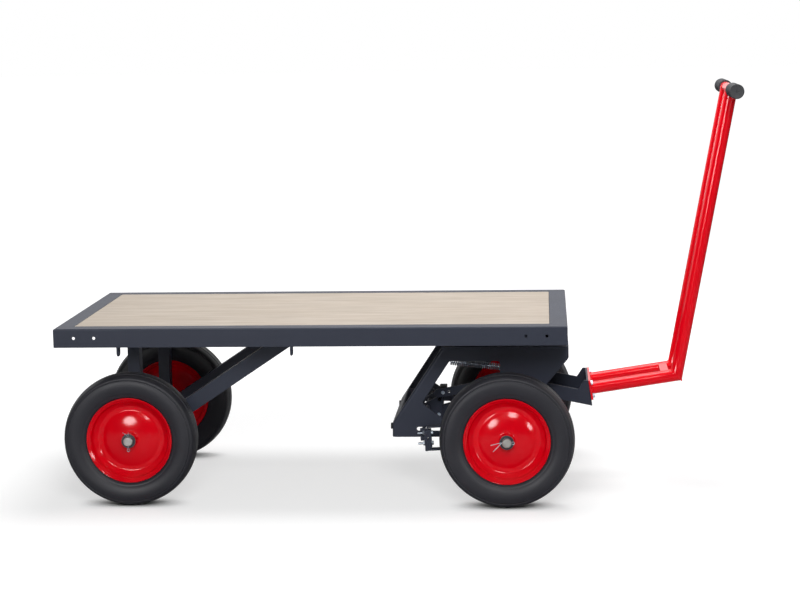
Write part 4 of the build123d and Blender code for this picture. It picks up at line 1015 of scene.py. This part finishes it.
painted_dark("clamps", "brake_clamps")
_, clamps_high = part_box("brake_clamps")
front_axle_middle = middle_of("front_axle")
band_tilt = math.radians(2.9)
band_back = Vector((-math.cos(band_tilt), 0, -math.sin(band_tilt)))
band_up = Vector((-math.sin(band_tilt), 0, math.cos(band_tilt)))
clamp_half_width, clamp_bolt_rise, clamp_front, clamp_rear = 0.013, 0.014, 0.203, 0.221
clamp_reach = clamps_high.y - clamp_half_width
clamp_lines = [
    front_axle_middle + Vector((0, side * clamp_reach, 0)) + band_up * (lift * clamp_bolt_rise)
    for side in (-1, 1)
    for lift in (-1, 1)
]
clamp_sizes = {
    "Head radius": 0.0062,
    "Head height": 0.0041,
    "Washer radius": 0.0065,
    "Washer height": 0.0008,
    "Shank radius": 0.003,
}
head_seats = [(line + band_back * clamp_front, -band_back) for line in clamp_lines]
heads = bolts("bolts_in_clamps", head_seats, {**clamp_sizes, "Shank length": 0.018}, dull_zinc)
put_on(heads, "brake_clamp_bolts")
nut_seats = [(line + band_back * clamp_rear, band_back) for line in clamp_lines]
nut_sizes = {**clamp_sizes, "Shank length": 0.002, "Stud length": 0.014}
nuts = bolts("nuts_on_clamps", nut_seats, nut_sizes, dull_zinc)
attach(nuts, "brake_slider")

# Studio: a white floor that keeps the soft shadow, with a painted contact shadow where parts stand
# close to it, a white surround, a broad lamp overhead, a fill in front, and three softboxes that only
# show in gloss. The camera looks a little down on the deck.
floor_reach = 40.0
unit_corners = [(-1, -1), (1, -1), (1, 1), (-1, 1)]
floor_corners = [(x * floor_reach, y * floor_reach, 0.0) for x, y in unit_corners]
floor_mesh = bpy.data.meshes.new("studio_floor")
floor_mesh.from_pydata(floor_corners, [], [(0, 1, 2, 3)])
floor = bpy.data.objects.new("studio_floor", floor_mesh)
bpy.context.scene.collection.objects.link(floor)
floor_finish = bpy.data.materials.new("studio_white")
floor_finish.use_nodes = True
floor_tree = floor_finish.node_tree
floor_tree.nodes.remove(floor_tree.nodes["Principled BSDF"])
tone_for_light, tone_for_camera = 0.55, 0.50
fade_start, fade_end, fade_level = 0.9, 2.6, 0.62
painted_shadow_reach, painted_shadow_dark, painted_shadow_clear = 0.08, 0.15, 0.75
seen_straight = node(floor_tree, "ShaderNodeLightPath").outputs["Is Camera Ray"]
floor_tone = ranged(floor_tree, seen_straight, 0.0, 1.0, tone_for_light, tone_for_camera)
matt = node(floor_tree, "ShaderNodeBsdfDiffuse", {"Color": floor_tone})
away = length_of(floor_tree, own_place(floor_tree))
fade = ranged(floor_tree, away, fade_start, fade_end, fade_level, interpolation_type="SMOOTHSTEP")
# Painted contact shadow: ambient occlusion dims the floor's white glow where parts come close, so the floor
# goes darker under the tyres.
occlusion_for_painted_shadow = node(floor_tree, "ShaderNodeAmbientOcclusion", {"Distance": painted_shadow_reach}, samples=8)
painted_contact_shadow = ranged(floor_tree, occlusion_for_painted_shadow.outputs["AO"], painted_shadow_dark, painted_shadow_clear)
white_level = maths(floor_tree, "MULTIPLY", seen_straight, maths(floor_tree, "MULTIPLY", fade, painted_contact_shadow))
glow = node(floor_tree, "ShaderNodeEmission", {"Color": (1, 1, 1, 1), "Strength": white_level})
both = node(floor_tree, "ShaderNodeAddShader", {0: matt.outputs[0], 1: glow.outputs[0]})
floor_tree.links.new(both.outputs[0], floor_tree.nodes["Material Output"].inputs["Surface"])
floor_mesh.materials.append(floor_finish)

surround = bpy.data.worlds.new("studio_surround")
bpy.context.scene.world = surround
surround.use_nodes = True
sky_tree = surround.node_tree
sky_tree.nodes.clear()
level_for_light, level_in_gloss = 0.13, 0.05
white_start, white_full = -0.1, 0.35
path = node(sky_tree, "ShaderNodeLightPath").outputs
shiny = maths(sky_tree, "MAXIMUM", path["Is Glossy Ray"], path["Is Transmission Ray"])
ambient = ranged(sky_tree, shiny, 0.0, 1.0, level_for_light, level_in_gloss)
lit = node(sky_tree, "ShaderNodeBackground", {"Color": (0.97, 0.98, 1.0, 1.0), "Strength": ambient})
white = node(sky_tree, "ShaderNodeBackground", {"Color": (1, 1, 1, 1), "Strength": 1.0})
heading = node(sky_tree, "ShaderNodeTexCoord").outputs["Generated"]
rearward = node(sky_tree, "ShaderNodeSeparateXYZ", {0: heading}).outputs["Y"]
mirrored_white = maths(sky_tree, "MULTIPLY", shiny, ranged(sky_tree, rearward, white_start, white_full))
shows_white = maths(sky_tree, "MAXIMUM", path["Is Camera Ray"], mirrored_white)
sky = node(sky_tree, "ShaderNodeMixShader", {0: shows_white, 1: lit.outputs[0], 2: white.outputs[0]})
sky_tree.links.new(sky.outputs[0], node(sky_tree, "ShaderNodeOutputWorld").inputs["Surface"])

lamp_aim = Vector((0.2, 0.0, 0.3))
for label, place, size, power, lights_matt, shows_in_gloss in (
    ("lamp_overhead", (0.1, 0.5, 3.2), 1.8, 76.0, True, True),
    ("lamp_fill", (0.3, -4.1, 2.6), 2.0, 106.0, True, False),
    ("softbox_left", (-1.5, -3.9, 1.4), 1.3, 104.0, False, True),
    ("softbox_top", (0.97, -3.45, 2.66), 1.1, 74.0, False, True),
    ("softbox_right", (3.13, -3.04, 1.16), 1.0, 60.0, False, True),
):
    lamp = bpy.data.lights.new(label, "AREA")
    lamp.shape = "DISK"
    lamp.size = size
    lamp.energy = power
    lamp_object = bpy.data.objects.new(label, lamp)
    lamp_object.location = place
    lamp_object.rotation_euler = (lamp_aim - Vector(place)).to_track_quat("-Z", "Y").to_euler()
    lamp_object.visible_diffuse = lights_matt
    lamp_object.visible_glossy = shows_in_gloss
    bpy.context.scene.collection.objects.link(lamp_object)

yaw, pitch, roll = math.radians(-3.63), math.radians(8.10), math.radians(0.89)
sight = Vector((math.sin(yaw) * math.cos(pitch), math.cos(yaw) * math.cos(pitch), -math.sin(pitch)))
level_right = Vector((math.cos(yaw), -math.sin(yaw), 0))
level_down = sight.cross(level_right)
right = level_right * math.cos(roll) + level_down * math.sin(roll)
down = level_down * math.cos(roll) - level_right * math.sin(roll)
image_width, image_height = 800, 589
focal_pixels, centre_x, centre_y = 2001.0, 419.4, 299.3
view = bpy.data.cameras.new("studio_camera")
view.sensor_width = 36.0
view.lens = focal_pixels * view.sensor_width / image_width
view.shift_x = (image_width / 2 - centre_x) / image_width
view.shift_y = (centre_y - image_height / 2) / image_width
view.clip_end = 200.0
camera_place = Matrix.Translation((0.3865, -5.475, 1.286))
camera_turn = Matrix((right, -down, -sight)).transposed().to_4x4()
camera = bpy.data.objects.new("studio_camera", view)
camera.matrix_world = camera_place @ camera_turn
bpy.context.scene.collection.objects.link(camera)
bpy.context.scene.camera = camera
bpy.context.scene.view_settings.view_transform = "Standard"
